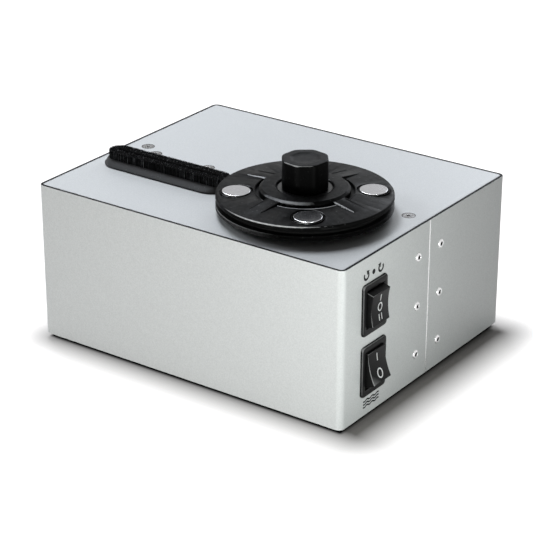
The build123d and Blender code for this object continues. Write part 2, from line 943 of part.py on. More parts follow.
disc_spots = circle_spots(spindle_x, spindle_y, disc_circle_radius, disc_count, clamp_turn)
disc_high = top_face + disc_top
disc_low = disc_high - disc_height
recess_floor = face_height(disc_circle_radius) - disc_recess_depth
bead_high = face_height(disc_circle_radius)
with BuildPart() as clamp_disc:
    with BuildSketch(clamp_plane(0)):
        with BuildLine():
            Polyline(
                (rim_inner, rim_top),
                (face_inner, face_top),
                (face_inner, face_top - ring_groove_depth),
                (ring_outer_radius, face_top - ring_groove_depth),
                (ring_outer_radius, ring_high - ring_bevel_drop),
                (ring_outer_radius - ring_bevel, ring_high),
                (well_radius + well_round, ring_high),
                (well_radius, ring_high - well_round),
                (well_radius, well_floor),
                (clamp_bore, well_floor),
                (clamp_bore, clamp_low),
                (platter_radius - clamp_under_chamfer, clamp_low),
                (platter_radius, clamp_low + clamp_under_chamfer),
                (platter_radius, rim_top - clamp_edge_round),
            )
            ThreePointArc(
                (platter_radius, rim_top - clamp_edge_round),
                (platter_radius - edge_mid, rim_top - edge_mid),
                (rim_inner, rim_top),
            )
        make_face()
    revolve(axis=Axis((spindle_x, spindle_y, 0), (0, 0, 1)))
    ramp_root = ring_outer_radius - ring_bevel
    for k in range(ramp_count):
        ramp_turn = clamp_turn + 180 / ramp_count + k * 360 / ramp_count
        with BuildSketch(clamp_plane(ramp_turn)):
            with BuildLine():
                Polyline(
                    (ramp_root, face_top - ring_groove_depth),
                    (ramp_reach, rim_top - clamp_edge_round),
                    (ramp_reach, face_height(ramp_reach)),
                    (ring_outer_radius, ring_high - ring_bevel_drop),
                    (ramp_root, ring_high - ring_bevel_drop),
                    close=True,
                )
            make_face()
        extrude(amount=ramp_width / 2, both=True)
    with Locations(*[(x, y, recess_floor) for x, y in disc_spots]):
        Cylinder(disc_recess_radius, disc_height, align=UP, mode=Mode.SUBTRACT)
    with BuildSketch(Plane.XY.offset(recess_floor)):
        with Locations(*disc_spots):
            Circle(disc_bead_radius + disc_bead_width / 2)
            Circle(disc_bead_radius - disc_bead_width / 2, mode=Mode.SUBTRACT)
    extrude(amount=bead_high - recess_floor)
    with Locations(*[(x, y, disc_low) for x, y in disc_spots]):
        Cylinder(disc_radius + small_fit, disc_height, align=UP, mode=Mode.SUBTRACT)
clamp_disc.part.label = "clamp_disc"
export_step(clamp_disc.part, "parts/clamp_disc.step")

with BuildPart() as clamp_weights:
    with Locations(*[(x, y, disc_low) for x, y in disc_spots]):
        Cylinder(disc_radius, disc_height, align=UP)
    fillet(clamp_weights.edges().group_by(Axis.Z)[-1], disc_edge_round)
clamp_weights.part.label = "clamp_weights"
export_step(clamp_weights.part, "parts/clamp_weights.step")

washer_high = well_floor + washer_thickness
with BuildPart() as clamp_washer:
    turned(
        tube_points(clamp_bore, washer_radius, well_floor, washer_high),
        spindle_x,
        spindle_y,
    )
clamp_washer.part.label = "clamp_washer"
export_step(clamp_washer.part, "parts/clamp_washer.step")

# Knob: eight hollow faces round a threaded insert
knob_bottom = top_face + knob_low
knob_high = top_face + knob_top
knob_start = clamp_turn + 180 / knob_sides
knob_corners = circle_spots(
    spindle_x, spindle_y, knob_corner_radius, knob_sides, knob_start
)
hollow_radius = knob_corner_radius * cos(radians(180 / knob_sides)) - knob_hollow
knob_hollows = circle_spots(
    spindle_x,
    spindle_y,
    hollow_radius,
    knob_sides,
    knob_start + 180 / knob_sides,
)
with BuildPart() as clamp_knob:
    with BuildSketch(Plane.XY.offset(knob_bottom)):
        with BuildLine():
            for k in range(knob_sides):
                following = knob_corners[(k + 1) % knob_sides]
                ThreePointArc(knob_corners[k], knob_hollows[k], following)
        make_face()
    extrude(amount=knob_high - knob_bottom)
    chamfer(clamp_knob.edges().group_by(Axis.Z)[-1], knob_edge)
    with Locations((spindle_x, spindle_y, knob_bottom)):
        Cylinder(insert_radius, insert_depth, align=UP, mode=Mode.SUBTRACT)
clamp_knob.part.label = "clamp_knob"
export_step(clamp_knob.part, "parts/clamp_knob.step")

with BuildPart() as knob_insert:
    turned(
        tube_points(
            thread_radius + running_fit,
            insert_radius,
            knob_bottom,
            knob_bottom + insert_depth,
        ),
        spindle_x,
        spindle_y,
    )
    with Locations((spindle_x, spindle_y, knob_bottom)):
        Cylinder(
            pin_radius + clamp_fit,
            pin_high - knob_bottom + insert_relief,
            align=UP,
            mode=Mode.SUBTRACT,
        )
knob_insert.part.label = "knob_insert"
export_step(knob_insert.part, "parts/knob_insert.step")

# ---------------------------------------------------------------- nozzle and suction

# Nozzle base: a sloped foot with a shallow seat for the bristle strip
bristle_length = nozzle_length - 2 * bristle_end_margin
seat_low = top_face + nozzle_height - bristle_seat
seat_rim = bristle_width + bristle_seat
with BuildPart() as nozzle_base:
    with BuildSketch(Plane.XY.offset(top_face)):
        with Locations((nozzle_x, spindle_y)):
            SlotOverall(nozzle_length, nozzle_width)
    extrude(amount=nozzle_edge)
    with BuildSketch(Plane.XY.offset(top_face + nozzle_edge)):
        with Locations((nozzle_x, spindle_y)):
            SlotOverall(nozzle_length, nozzle_width)
    with BuildSketch(Plane.XY.offset(top_face + nozzle_height)):
        with Locations((nozzle_x, spindle_y)):
            SlotOverall(bristle_length + bristle_seat, seat_rim)
    loft()
    with BuildSketch(Plane.XY.offset(seat_low)):
        with Locations((nozzle_x, spindle_y)):
            SlotOverall(bristle_length, bristle_width)
    extrude(amount=nozzle_height, mode=Mode.SUBTRACT)
    with BuildSketch(Plane.XY.offset(top_face)):
        with Locations((nozzle_x, spindle_y)):
            SlotOverall(slot_length, slot_width)
        with Locations(*nozzle_screw_spots):
            Circle(pan_shank_radius + small_fit)
    extrude(amount=nozzle_height, mode=Mode.SUBTRACT)
nozzle_base.part.label = "nozzle_base"
export_step(nozzle_base.part, "parts/nozzle_base.step")

# Bristle strip: a dense closed wall of bristles round the suction slot
bristle_high = top_face + bristle_top
with BuildPart() as bristle_strip:
    with BuildSketch(Plane.XY.offset(seat_low)):
        with Locations((nozzle_x, spindle_y)):
            SlotOverall(bristle_length, bristle_width)
            SlotOverall(
                bristle_length - 2 * bristle_wall,
                bristle_width - 2 * bristle_wall,
                mode=Mode.SUBTRACT,
            )
    extrude(amount=bristle_high - seat_low)
    bristle_face = bristle_strip.faces().sort_by(Axis.Z)[-1]
    fillet(bristle_face.outer_wire().edges(), bristle_round)
bristle_strip.part.label = "bristle_strip"
export_step(bristle_strip.part, "parts/bristle_strip.step")

# Suction duct: flange with two ears, trough below the slot, spout into the tank
duct_flange_left = nozzle_left + nozzle_edge
duct_flange_right = nozzle_right - nozzle_height
duct_flange_x = (duct_flange_left + duct_flange_right) / 2
duct_flange_low = top_under - duct_flange_thickness
duct_low = top_under - duct_depth
duct_length = slot_length + 2 * duct_wall + slot_width
spout_low = duct_low - spout_reach
with BuildPart() as suction_duct:
    with Locations((duct_flange_x, spindle_y, top_under)):
        Box(
            duct_flange_right - duct_flange_left,
            2 * duct_flange_reach,
            duct_flange_thickness,
            align=DOWN,
        )
    with Locations(*[(x, spindle_y, top_under) for x, y in duct_screw_spots]):
        Box(
            duct_ear_width,
            duct_ear_reach,
            duct_flange_thickness,
            align=(Align.CENTER, Align.MIN, Align.MAX),
        )
    with Locations(*[(x, y, top_under) for x, y in duct_screw_spots]):
        Cylinder(nut_radius, duct_flange_thickness + nut_height, align=DOWN)
    with Locations((nozzle_x, spindle_y, top_under)):
        Box(duct_length, duct_width, duct_depth, align=DOWN)
    with Locations((spout_x, spindle_y, spout_low)):
        Cylinder(spout_radius, spout_reach + duct_wall, align=UP)
    with Locations((nozzle_x, spindle_y, top_under)):
        Box(
            duct_length - 2 * duct_wall,
            duct_width - 2 * duct_wall,
            duct_depth - duct_wall,
            align=DOWN,
            mode=Mode.SUBTRACT,
        )
    with Locations((spout_x, spindle_y, spout_low)):
        Cylinder(
            spout_radius - duct_wall,
            spout_reach + 2 * duct_wall,
            align=UP,
            mode=Mode.SUBTRACT,
        )
    with Locations(*[(x, y, top_under) for x, y in nozzle_screw_spots]):
        Cylinder(
            pan_shank_radius + small_fit,
            duct_flange_thickness,
            align=DOWN,
            mode=Mode.SUBTRACT,
        )
    with Locations(*[(x, y, top_under) for x, y in duct_screw_spots]):
        Cylinder(
            csk_shank_radius + small_fit,
            duct_flange_thickness + nut_height,
            align=DOWN,
            mode=Mode.SUBTRACT,
        )
suction_duct.part.label = "suction_duct"
export_step(suction_duct.part, "parts/suction_duct.step")

nozzle_screw_top = seat_low
with BuildPart() as nozzle_screws:
    for x, y in nozzle_screw_spots:
        with Locations(Location((x, y, duct_flange_low), (180, 0, 0))):
            add(pan_head.part)
        with Locations((x, y, duct_flange_low)):
            Cylinder(pan_shank_radius, nozzle_screw_top - duct_flange_low, align=UP)
nozzle_screws.part.label = "nozzle_screws"
export_step(nozzle_screws.part, "parts/nozzle_screws.step")

# Waste tank standing on a skirt, open at the top, with a drain hole low on the left
tank_x = (tank_left + tank_right) / 2
tank_y = (tank_front + tank_back) / 2
tank_width = tank_right - tank_left
tank_depth = tank_back - tank_front
tank_floor = base_top + tank_lift + tank_wall
with BuildPart() as waste_tank:
    with BuildSketch(Plane.XY.offset(base_top)):
        with Locations((tank_x, tank_y)):
            RectangleRounded(tank_width, tank_depth, tank_corner)
    extrude(amount=tank_rim - base_top)
    for low, high in ((base_top, base_top + tank_lift), (tank_floor, tank_rim)):
        with BuildSketch(Plane.XY.offset(low)):
            with Locations((tank_x, tank_y)):
                RectangleRounded(
                    tank_width - 2 * tank_wall,
                    tank_depth - 2 * tank_wall,
                    tank_corner - tank_wall,
                )
        extrude(amount=high - low, mode=Mode.SUBTRACT)
    with BuildSketch(Plane.YZ.offset(tank_left)):
        with Locations((drain_y, drain_z)):
            Circle(drain_radius + small_fit)
    extrude(amount=tank_wall, mode=Mode.SUBTRACT)
waste_tank.part.label = "waste_tank"
export_step(waste_tank.part, "parts/waste_tank.step")

with BuildPart() as tank_gasket:
    with BuildSketch(Plane.XY.offset(tank_rim)):
        with Locations((tank_x, tank_y)):
            RectangleRounded(tank_width, tank_depth, tank_corner)
            RectangleRounded(
                tank_width - 2 * tank_wall,
                tank_depth - 2 * tank_wall,
                tank_corner - tank_wall,
                mode=Mode.SUBTRACT,
            )
    extrude(amount=gasket_thickness)
tank_gasket.part.label = "tank_gasket"
export_step(tank_gasket.part, "parts/tank_gasket.step")

lip_inset = tank_wall + port_fit
with BuildPart() as tank_lid:
    with BuildSketch(Plane.XY.offset(lid_under)):
        with Locations((tank_x, tank_y)):
            RectangleRounded(tank_width, tank_depth, tank_corner)
    extrude(amount=lid_thickness)
    with BuildSketch(Plane.XY.offset(lid_under)):
        with Locations((tank_x, tank_y)):
            RectangleRounded(
                tank_width - 2 * lip_inset,
                tank_depth - 2 * lip_inset,
                tank_corner - lip_inset,
            )
            RectangleRounded(
                tank_width - 2 * lip_inset - 2 * tank_wall,
                tank_depth - 2 * lip_inset - 2 * tank_wall,
                tank_corner - tank_wall,
                mode=Mode.SUBTRACT,
            )
    extrude(amount=-lid_lip)
    with Locations((spout_x, spindle_y, lid_under)):
        Cylinder(
            spout_radius + port_fit, lid_thickness, align=UP, mode=Mode.SUBTRACT
        )
    with Locations((hose_x, hose_start_y, lid_under)):
        Cylinder(hose_radius + port_fit, lid_thickness, align=UP, mode=Mode.SUBTRACT)
tank_lid.part.label = "tank_lid"
export_step(tank_lid.part, "parts/tank_lid.step")

# Drain: a nipple from the tank through the left wall, with a flange, and its cap
drain_end = left_face - drain_reach
drain_length = tank_left + tank_wall - drain_end
drain_flange_length = tank_left - (left_face + wall_thickness)
with BuildPart() as drain_fitting:
    with BuildSketch(Plane.YZ.offset(drain_end)):
        with Locations((drain_y, drain_z)):
            Circle(drain_radius)
    extrude(amount=drain_length)
    with BuildSketch(Plane.YZ.offset(left_face + wall_thickness)):
        with Locations((drain_y, drain_z)):
            Circle(drain_nut_radius)
    extrude(amount=drain_flange_length)
    with BuildSketch(Plane.YZ.offset(drain_end)):
        with Locations((drain_y, drain_z)):
            Circle(drain_bore)
    extrude(amount=drain_length, mode=Mode.SUBTRACT)
drain_fitting.part.label = "drain_fitting"
export_step(drain_fitting.part, "parts/drain_fitting.step")

cap_length = drain_reach - running_fit + cap_end
with BuildPart() as drain_cap:
    with BuildSketch(Plane.YZ.offset(drain_end - cap_end)):
        with Locations((drain_y, drain_z)):
            Circle(cap_radius)
    extrude(amount=cap_length)
    fillet(drain_cap.edges().group_by(Axis.X)[0], cap_round)
    with BuildSketch(Plane.YZ.offset(drain_end)):
        with Locations((drain_y, drain_z)):
            Circle(drain_radius + running_fit)
    extrude(amount=cap_length, mode=Mode.SUBTRACT)
drain_cap.part.label = "drain_cap"
export_step(drain_cap.part, "parts/drain_cap.step")

# Moulded hose from the tank's lid to the fan's neck
fan_neck_top = fan_housing_high + neck_height
with BuildPart() as suction_hose:
    with BuildLine() as hose_path:
        FilletPolyline(
            (hose_x, hose_start_y, lid_under),
            (hose_x, hose_start_y, hose_height),
            (hose_x, fan_y, hose_height),
            (fan_x, fan_y, hose_height),
            (fan_x, fan_y, fan_housing_high),
            radius=hose_bend,
        )
    with BuildSketch(Plane.XY.offset(lid_under)):
        with Locations((hose_x, hose_start_y)):
            Circle(hose_radius)
            Circle(hose_radius - hose_wall, mode=Mode.SUBTRACT)
    sweep(path=hose_path.wires()[0])
suction_hose.part.label = "suction_hose"
export_step(suction_hose.part, "parts/suction_hose.step")

# ---------------------------------------------------------------- vacuum fan

fan_mount_spots = circle_spots(fan_x, fan_y, fan_mount_circle, fan_mount_count, 90)
with BuildPart() as fan_mounts:
    with Locations(*[(x, y, base_top) for x, y in fan_mount_spots]):
        Cylinder(fan_mount_radius, fan_mount_height, align=UP)
fan_mounts.part.label = "fan_mounts"
export_step(fan_mounts.part, "parts/fan_mounts.step")

fan_shaft_low = fan_housing_low - fan_shaft_depth
with BuildPart() as fan_motor:
    with Locations((fan_x, fan_y, fan_low)):
        Cylinder(fan_motor_radius, fan_motor_height, align=UP)
    fillet(fan_motor.edges().group_by(Axis.Z)[0], fan_motor_round)
    with Locations((fan_x, fan_y, fan_shaft_low)):
        Cylinder(
            fan_shaft_radius + running_fit,
            fan_shaft_depth,
            align=UP,
            mode=Mode.SUBTRACT,
        )
fan_motor.part.label = "fan_motor"
export_step(fan_motor.part, "parts/fan_motor.step")

# Housing: a drum with a neck on top and an outlet to the back
outlet_length = back_face - wall_thickness - fan_y
with BuildPart() as fan_housing:
    with Locations((fan_x, fan_y, fan_housing_low)):
        Cylinder(fan_radius, fan_height, align=UP)
        Box(
            exhaust_width,
            outlet_length,
            exhaust_height + 2 * fan_wall,
            align=(Align.CENTER, Align.MIN, Align.MIN),
        )
    with Locations((fan_x, fan_y, fan_housing_high)):
        Cylinder(hose_radius + 2 * fan_wall, neck_height, align=UP)
    with Locations((fan_x, fan_y, fan_housing_low + fan_wall)):
        Cylinder(
            fan_radius - fan_wall,
            fan_height - 2 * fan_wall,
            align=UP,
            mode=Mode.SUBTRACT,
        )
        Box(
            exhaust_width - 2 * fan_wall,
            outlet_length,
            exhaust_height,
            align=(Align.CENTER, Align.MIN, Align.MIN),
            mode=Mode.SUBTRACT,
        )
    with Locations((fan_x, fan_y, fan_housing_low)):
        Cylinder(
            fan_shaft_radius + running_fit, fan_wall, align=UP, mode=Mode.SUBTRACT
        )
    with Locations((fan_x, fan_y, fan_housing_high - fan_wall)):
        Cylinder(
            hose_radius - hose_wall, 2 * fan_wall, align=UP, mode=Mode.SUBTRACT
        )
    with Locations((fan_x, fan_y, fan_housing_high)):
        Cylinder(hose_radius, neck_height, align=UP, mode=Mode.SUBTRACT)
fan_housing.part.label = "fan_housing"
export_step(fan_housing.part, "parts/fan_housing.step")

# Impeller: two plates with radial blades between them, on the motor's shaft
impeller_radius = fan_radius - fan_wall - fan_clearance
impeller_low = fan_housing_low + fan_wall + fan_clearance
impeller_high = fan_housing_high - fan_wall - fan_clearance
blade_length = impeller_radius - impeller_eye_radius
with BuildPart() as fan_impeller:
    with Locations((fan_x, fan_y, impeller_low)):
        Cylinder(impeller_radius, impeller_thickness, align=UP)
        Cylinder(
            impeller_hub_radius, impeller_high - impeller_low - fan_clearance, align=UP
        )
    turned(
        [
            (impeller_eye_radius, impeller_high - impeller_thickness),
            (impeller_radius, impeller_high - impeller_thickness),
            (impeller_radius, impeller_high),
            (impeller_eye_radius, impeller_high),
        ],
        fan_x,
        fan_y,
    )
    with BuildSketch(Plane.XY.offset(impeller_low)):
        with Locations((fan_x, fan_y)):
            with PolarLocations(impeller_eye_radius + blade_length / 2, blade_count):
                Rectangle(blade_length, impeller_thickness)
    extrude(amount=impeller_high - impeller_low)
    with Locations((fan_x, fan_y, impeller_low)):
        Cylinder(
            fan_shaft_radius, fan_height, align=UP, mode=Mode.SUBTRACT
        )
fan_impeller.part.label = "fan_impeller"
export_step(fan_impeller.part, "parts/fan_impeller.step")

with BuildPart() as fan_shaft:
    with Locations((fan_x, fan_y, fan_shaft_low + running_fit)):
        Cylinder(
            fan_shaft_radius,
            impeller_high - fan_clearance - fan_shaft_low,
            align=UP,
        )
fan_shaft.part.label = "fan_shaft"
export_step(fan_shaft.part, "parts/fan_shaft.step")

# ---------------------------------------------------------------- gear motor

standoff_length = flange_low - motor_plate_top
with BuildPart() as motor_standoffs:
    with Locations(*[(x, y, motor_plate_top) for x, y in standoff_spots]):
        Cylinder(standoff_radius, standoff_length, align=UP)
    with Locations(*[(x, y, flange_low) for x, y in standoff_spots]):
        Cylinder(pan_shank_radius, bearing_flange_thickness, align=UP)
    with Locations(*[(x, y, motor_plate_top) for x, y in standoff_spots]):
        Cylinder(
            pan_shank_radius + small_fit,
            bearing_flange_thickness,
            align=UP,
            mode=Mode.SUBTRACT,
        )
motor_standoffs.part.label = "motor_standoffs"
export_step(motor_standoffs.part, "parts/motor_standoffs.step")

motor_plate_low = motor_plate_top - motor_plate_thickness
gearbox_screw_spots = circle_spots(spindle_x, spindle_y, gearbox_screw_circle, 3, 90)
with BuildPart() as motor_plate:
    with BuildSketch(Plane.XY.offset(motor_plate_low)):
        with Locations((spindle_x, spindle_y)):
            RectangleRounded(motor_plate_size, motor_plate_size, standoff_radius)
            Circle(gearbox_boss_radius + spigot_fit, mode=Mode.SUBTRACT)
        with Locations(*(standoff_spots + gearbox_screw_spots)):
            Circle(pan_shank_radius + small_fit, mode=Mode.SUBTRACT)
    extrude(amount=motor_plate_thickness)
motor_plate.part.label = "motor_plate"
export_step(motor_plate.part, "parts/motor_plate.step")

with BuildPart() as drive_screws:
    for x, y in standoff_spots:
        with Locations(Location((x, y, motor_plate_low), (180, 0, 0))):
            add(pan_head.part)
        with Locations((x, y, motor_plate_low)):
            Cylinder(
                pan_shank_radius,
                motor_plate_thickness + bearing_flange_thickness,
                align=UP,
            )
    for x, y in gearbox_screw_spots:
        with Locations((x, y, motor_plate_top)):
            add(pan_head.part)
            Cylinder(
                pan_shank_radius,
                motor_plate_thickness + bearing_flange_thickness,
                align=DOWN,
            )
drive_screws.part.label = "drive_screws"
export_step(drive_screws.part, "parts/drive_screws.step")

gearbox_low = motor_plate_low - gearbox_height
gearbox_bore_low = motor_plate_low - gearbox_bore_depth
with BuildPart() as gearbox_housing:
    with Locations((spindle_x, spindle_y, gearbox_low)):
        Cylinder(gearbox_radius, gearbox_height, align=UP)
    chamfer(gearbox_housing.edges().group_by(Axis.Z)[-1], gearbox_boss_rise)
    with Locations((spindle_x, spindle_y, motor_plate_low)):
        Cylinder(
            gearbox_boss_radius, motor_plate_thickness + gearbox_boss_rise, align=UP
        )
    with Locations((spindle_x, spindle_y, gearbox_bore_low)):
        Cylinder(
            shaft_radius + running_fit, gearbox_height, align=UP, mode=Mode.SUBTRACT
        )
    with Locations(*[(x, y, motor_plate_low) for x, y in gearbox_screw_spots]):
        Cylinder(
            pan_shank_radius + small_fit,
            bearing_flange_thickness,
            align=DOWN,
            mode=Mode.SUBTRACT,
        )
gearbox_housing.part.label = "gearbox_housing"
export_step(gearbox_housing.part, "parts/gearbox_housing.step")

gear_shaft_high = shaft_low - shaft_gap
with BuildPart() as gearbox_shaft:
    with Locations((spindle_x, spindle_y, gearbox_bore_low + running_fit)):
        Cylinder(shaft_radius, gear_shaft_high - gearbox_bore_low, align=UP)
gearbox_shaft.part.label = "gearbox_shaft"
export_step(gearbox_shaft.part, "parts/gearbox_shaft.step")

with BuildPart() as gear_motor:
    with Locations((spindle_x, spindle_y, gearbox_low)):
        Cylinder(motor_radius, motor_height, align=DOWN)
    chamfer(gear_motor.edges().group_by(Axis.Z)[0], motor_rib_depth)
gear_motor.part.label = "gear_motor"
export_step(gear_motor.part, "parts/gear_motor.step")

with BuildPart() as shaft_coupling:
    turned(
        tube_points(
            shaft_radius,
            coupling_radius,
            coupling_high - coupling_length,
            coupling_high,
        ),
        spindle_x,
        spindle_y,
    )
shaft_coupling.part.label = "shaft_coupling"
export_step(shaft_coupling.part, "parts/shaft_coupling.step")

# ---------------------------------------------------------------- rocker switches

pivot_x = right_face - rocker_pivot_depth
lip_x = bezel_thickness + rocker_pivot_depth + rocker_lip_rise
dip_x = lip_x - rocker_dip
mouth_x = right_face + bezel_thickness


def switch_housing(middle):
    """Build a bezel outside the wall and a body inside it, open towards the rocker."""
    with BuildSketch(on_right) as bezel:
        with Locations((switch_y, middle)):
            RectangleRounded(bezel_width, bezel_height, bezel_corner)
    extrude(bezel.sketch, amount=bezel_thickness)
    with BuildSketch(on_right) as body:
        with Locations((switch_y, middle)):
            Rectangle(switch_body_width, switch_body_height)
    extrude(body.sketch, amount=-switch_body_depth)
    with Locations((mouth_x, switch_y, middle)):
        Box(
            rocker_mouth_depth,
            rocker_mouth_width,
            rocker_mouth_height,
            align=(Align.MAX, Align.CENTER, Align.CENTER),
            mode=Mode.SUBTRACT,
        )
    with Locations(Location((pivot_x, switch_y, middle), (90, 0, 0))):
        Cylinder(
            rocker_pin_radius + running_fit,
            rocker_width + 2 * rocker_pin_reach + 2 * running_fit,
            mode=Mode.SUBTRACT,
        )


def rocker(middle, tilt):
    """Build a rocker on its pivot pin, turned by tilt degrees from its level place."""
    t = radians(tilt)
    level = Plane(
        origin=(pivot_x, switch_y, middle),
        x_dir=(cos(t), 0, -sin(t)),
        z_dir=(0, -1, 0),
    )
    with BuildSketch(level) as side_view:
        with BuildLine():
            Polyline(
                (lip_x, rocker_lip_half_height),
                (lip_x - rocker_lip_length, rocker_half_height),
                (0, rocker_half_height),
                (-rocker_root_depth, rocker_root_half_height),
                (-rocker_root_depth, -rocker_root_half_height),
                (0, -rocker_half_height),
                (lip_x - rocker_lip_length, -rocker_half_height),
                (lip_x, -rocker_lip_half_height),
            )
            ThreePointArc(
                (lip_x, -rocker_lip_half_height),
                (dip_x, 0),
                (lip_x, rocker_lip_half_height),
            )
        make_face()
    extrude(side_view.sketch, amount=rocker_width / 2, both=True)
    with BuildSketch(level) as pin:
        Circle(rocker_pin_radius)
    extrude(pin.sketch, amount=rocker_width / 2 + rocker_pin_reach, both=True)


with BuildPart() as motor_switch_housing:
    switch_housing(motor_switch_z)
motor_switch_housing.part.label = "motor_switch_housing"
export_step(motor_switch_housing.part, "parts/motor_switch_housing.step")

with BuildPart() as motor_rocker:
    rocker(motor_switch_z, 0)
motor_rocker.part.label = "motor_rocker"
export_step(motor_rocker.part, "parts/motor_rocker.step")

with BuildPart() as vacuum_switch_housing:
    switch_housing(vacuum_switch_z)
vacuum_switch_housing.part.label = "vacuum_switch_housing"
export_step(vacuum_switch_housing.part, "parts/vacuum_switch_housing.step")

with BuildPart() as vacuum_rocker:
    rocker(vacuum_switch_z, -rocker_tilt)
vacuum_rocker.part.label = "vacuum_rocker"
export_step(vacuum_rocker.part, "parts/vacuum_rocker.step")

terminal_x = right_face - switch_body_depth - terminal_length / 2
with BuildPart() as switch_terminals:
    for y, z in switch_spots:
        with Locations((terminal_x, y, z)):
            with GridLocations(0, terminal_spacing, 1, 2):
                with Locations((0, 0, terminal_spacing), (0, 0, 0), (0, 0, -terminal_spacing)):
                    Box(terminal_length, terminal_width, terminal_thickness)
switch_terminals.part.label = "switch_terminals"
export_step(switch_terminals.part, "parts/switch_terminals.step")

# ---------------------------------------------------------------- mains inlet

inlet_face = back_face + inlet_flange_thickness
with BuildPart() as mains_inlet:
    with BuildSketch(on_back):
        with Locations((inlet_x, inlet_z)):
            RectangleRounded(
                inlet_flange_width, inlet_flange_height, inlet_flange_corner
            )
        with Locations(*inlet_screw_spots):
            Circle(pan_shank_radius + small_fit, mode=Mode.SUBTRACT)
    extrude(amount=-inlet_flange_thickness)
    with BuildSketch(on_back):
        with Locations((inlet_x, inlet_z)):
            Rectangle(inlet_body_width, inlet_body_height)
    extrude(amount=inlet_body_depth)
    with BuildSketch(Plane.XZ.offset(-inlet_face)):
        with Locations((inlet_x, inlet_z)):
            socket = Rectangle(inlet_socket_width, inlet_socket_height)
            chamfer(socket.vertices().group_by(Axis.Y)[-1], inlet_socket_corner)
    extrude(amount=inlet_socket_depth, mode=Mode.SUBTRACT)
mains_inlet.part.label = "mains_inlet"
export_step(mains_inlet.part, "parts/mains_inlet.step")

socket_floor = inlet_face - inlet_socket_depth
with BuildPart() as inlet_pins:
    for dx, dz in ((-1, -1), (0, 1), (1, -1)):
        x = inlet_x + dx * inlet_pin_spacing
        z = inlet_z + dz * inlet_pin_rise
        with Locations((x, socket_floor, z)):
            Box(
                inlet_pin_width,
                inlet_pin_length,
                inlet_pin_height,
                align=(Align.CENTER, Align.MIN, Align.CENTER),
            )
inlet_pins.part.label = "inlet_pins"
export_step(inlet_pins.part, "parts/inlet_pins.step")

inlet_screw_length = inlet_flange_thickness + wall_thickness + nut_height
with BuildPart() as inlet_screws:
    for x, z in inlet_screw_spots:
        with Locations(Location((x, inlet_face, z), (-90, 0, 0))):
            add(pan_head.part)
        with Locations(Location((x, inlet_face, z), (90, 0, 0))):
            Cylinder(pan_shank_radius, inlet_screw_length, align=UP)
inlet_screws.part.label = "inlet_screws"
export_step(inlet_screws.part, "parts/inlet_screws.step")

# ---------------------------------------------------------------- control board

board_low = base_top + board_lift
board_high = board_low + board_thickness
post_x = board_width - 2 * board_post_inset
post_y = board_depth - 2 * board_post_inset
relay_x = board_x - board_width / 4
with BuildPart() as board_posts:
    with Locations((board_x, board_y, base_top)):
        with GridLocations(post_x, post_y, 2, 2):
            Cylinder(board_post_radius, board_lift, align=UP)
board_posts.part.label = "board_posts"
export_step(board_posts.part, "parts/board_posts.step")

with BuildPart() as control_board:
    with Locations((board_x, board_y, board_low)):
        Box(board_width, board_depth, board_thickness, align=UP)
control_board.part.label = "control_board"
export_step(control_board.part, "parts/control_board.step")

with BuildPart() as board_relays:
    with Locations((relay_x, board_y, board_high)):
        with GridLocations(0, board_depth / 2, 1, 2):
            Box(relay_width, relay_depth, relay_height, align=UP)
board_relays.part.label = "board_relays"
export_step(board_relays.part, "parts/board_relays.step")

with BuildPart() as motor_capacitor:
    with Locations((board_x + board_width / 4, board_y, board_high)):
        Cylinder(capacitor_radius, capacitor_height, align=UP)
motor_capacitor.part.label = "motor_capacitor"
export_step(motor_capacitor.part, "parts/motor_capacitor.step")

# ---------------------------------------------------------------- internal leads

inlet_back = back_face - inlet_body_depth
lead_inlet_y = inlet_back - lead_bend - lead_radius
lead_inlet_end = board_y + board_depth / 4
board_front = board_y - board_depth / 2
low_run = board_high + lead_rise
high_run = low_run + lead_pitch
terminal_end = right_face - switch_body_depth - terminal_length
lead_x = terminal_end - lead_gap
motor_lead_y = switch_y + terminal_spacing / 2
vacuum_lead_y = switch_y - terminal_spacing / 2
board_left = board_x - board_width / 2
lead_paths = [
    # mains inlet to the control board
    [
        (inlet_x, inlet_back, inlet_z),
        (inlet_x, lead_inlet_y, inlet_z),
        (inlet_x, lead_inlet_y, high_run),
        (inlet_x, lead_inlet_end, high_run),
        (inlet_x, lead_inlet_end, board_high),
    ],
    # control board to the motor switch
    [
        (lead_x, board_front + 2 * lead_bend, board_high),
        (lead_x, board_front + 2 * lead_bend, high_run),
        (lead_x, motor_lead_y, high_run),
        (lead_x, motor_lead_y, motor_switch_z),
        (terminal_end, motor_lead_y, motor_switch_z),
    ],
    # control board to the vacuum switch
    [
        (lead_x, board_front + lead_radius, board_high),
        (lead_x, board_front + lead_radius, low_run),
        (lead_x, vacuum_lead_y, low_run),
        (lead_x, vacuum_lead_y, vacuum_switch_z),
        (terminal_end, vacuum_lead_y, vacuum_switch_z),
    ],
    # control board to the gear motor
    [
        (spindle_x, board_front + lead_radius, board_high),
        (spindle_x, board_front + lead_radius, low_run),
        (spindle_x, spindle_y + motor_radius, low_run),
    ],
    # control board to the vacuum motor
    [
        (board_left + lead_bend, fan_y, board_high),
        (board_left + lead_bend, fan_y, low_run),
        (fan_x + fan_motor_radius, fan_y, low_run),
    ],
]
with BuildPart() as wiring:
    for points in lead_paths:
        with BuildLine() as lead:
            FilletPolyline(*points, radius=lead_bend)
        with BuildSketch(Plane(origin=lead.line @ 0, z_dir=lead.line % 0)):
            Circle(lead_radius)
        sweep(path=lead.wires()[0])
wiring.part.label = "wiring"
export_step(wiring.part, "parts/wiring.step")
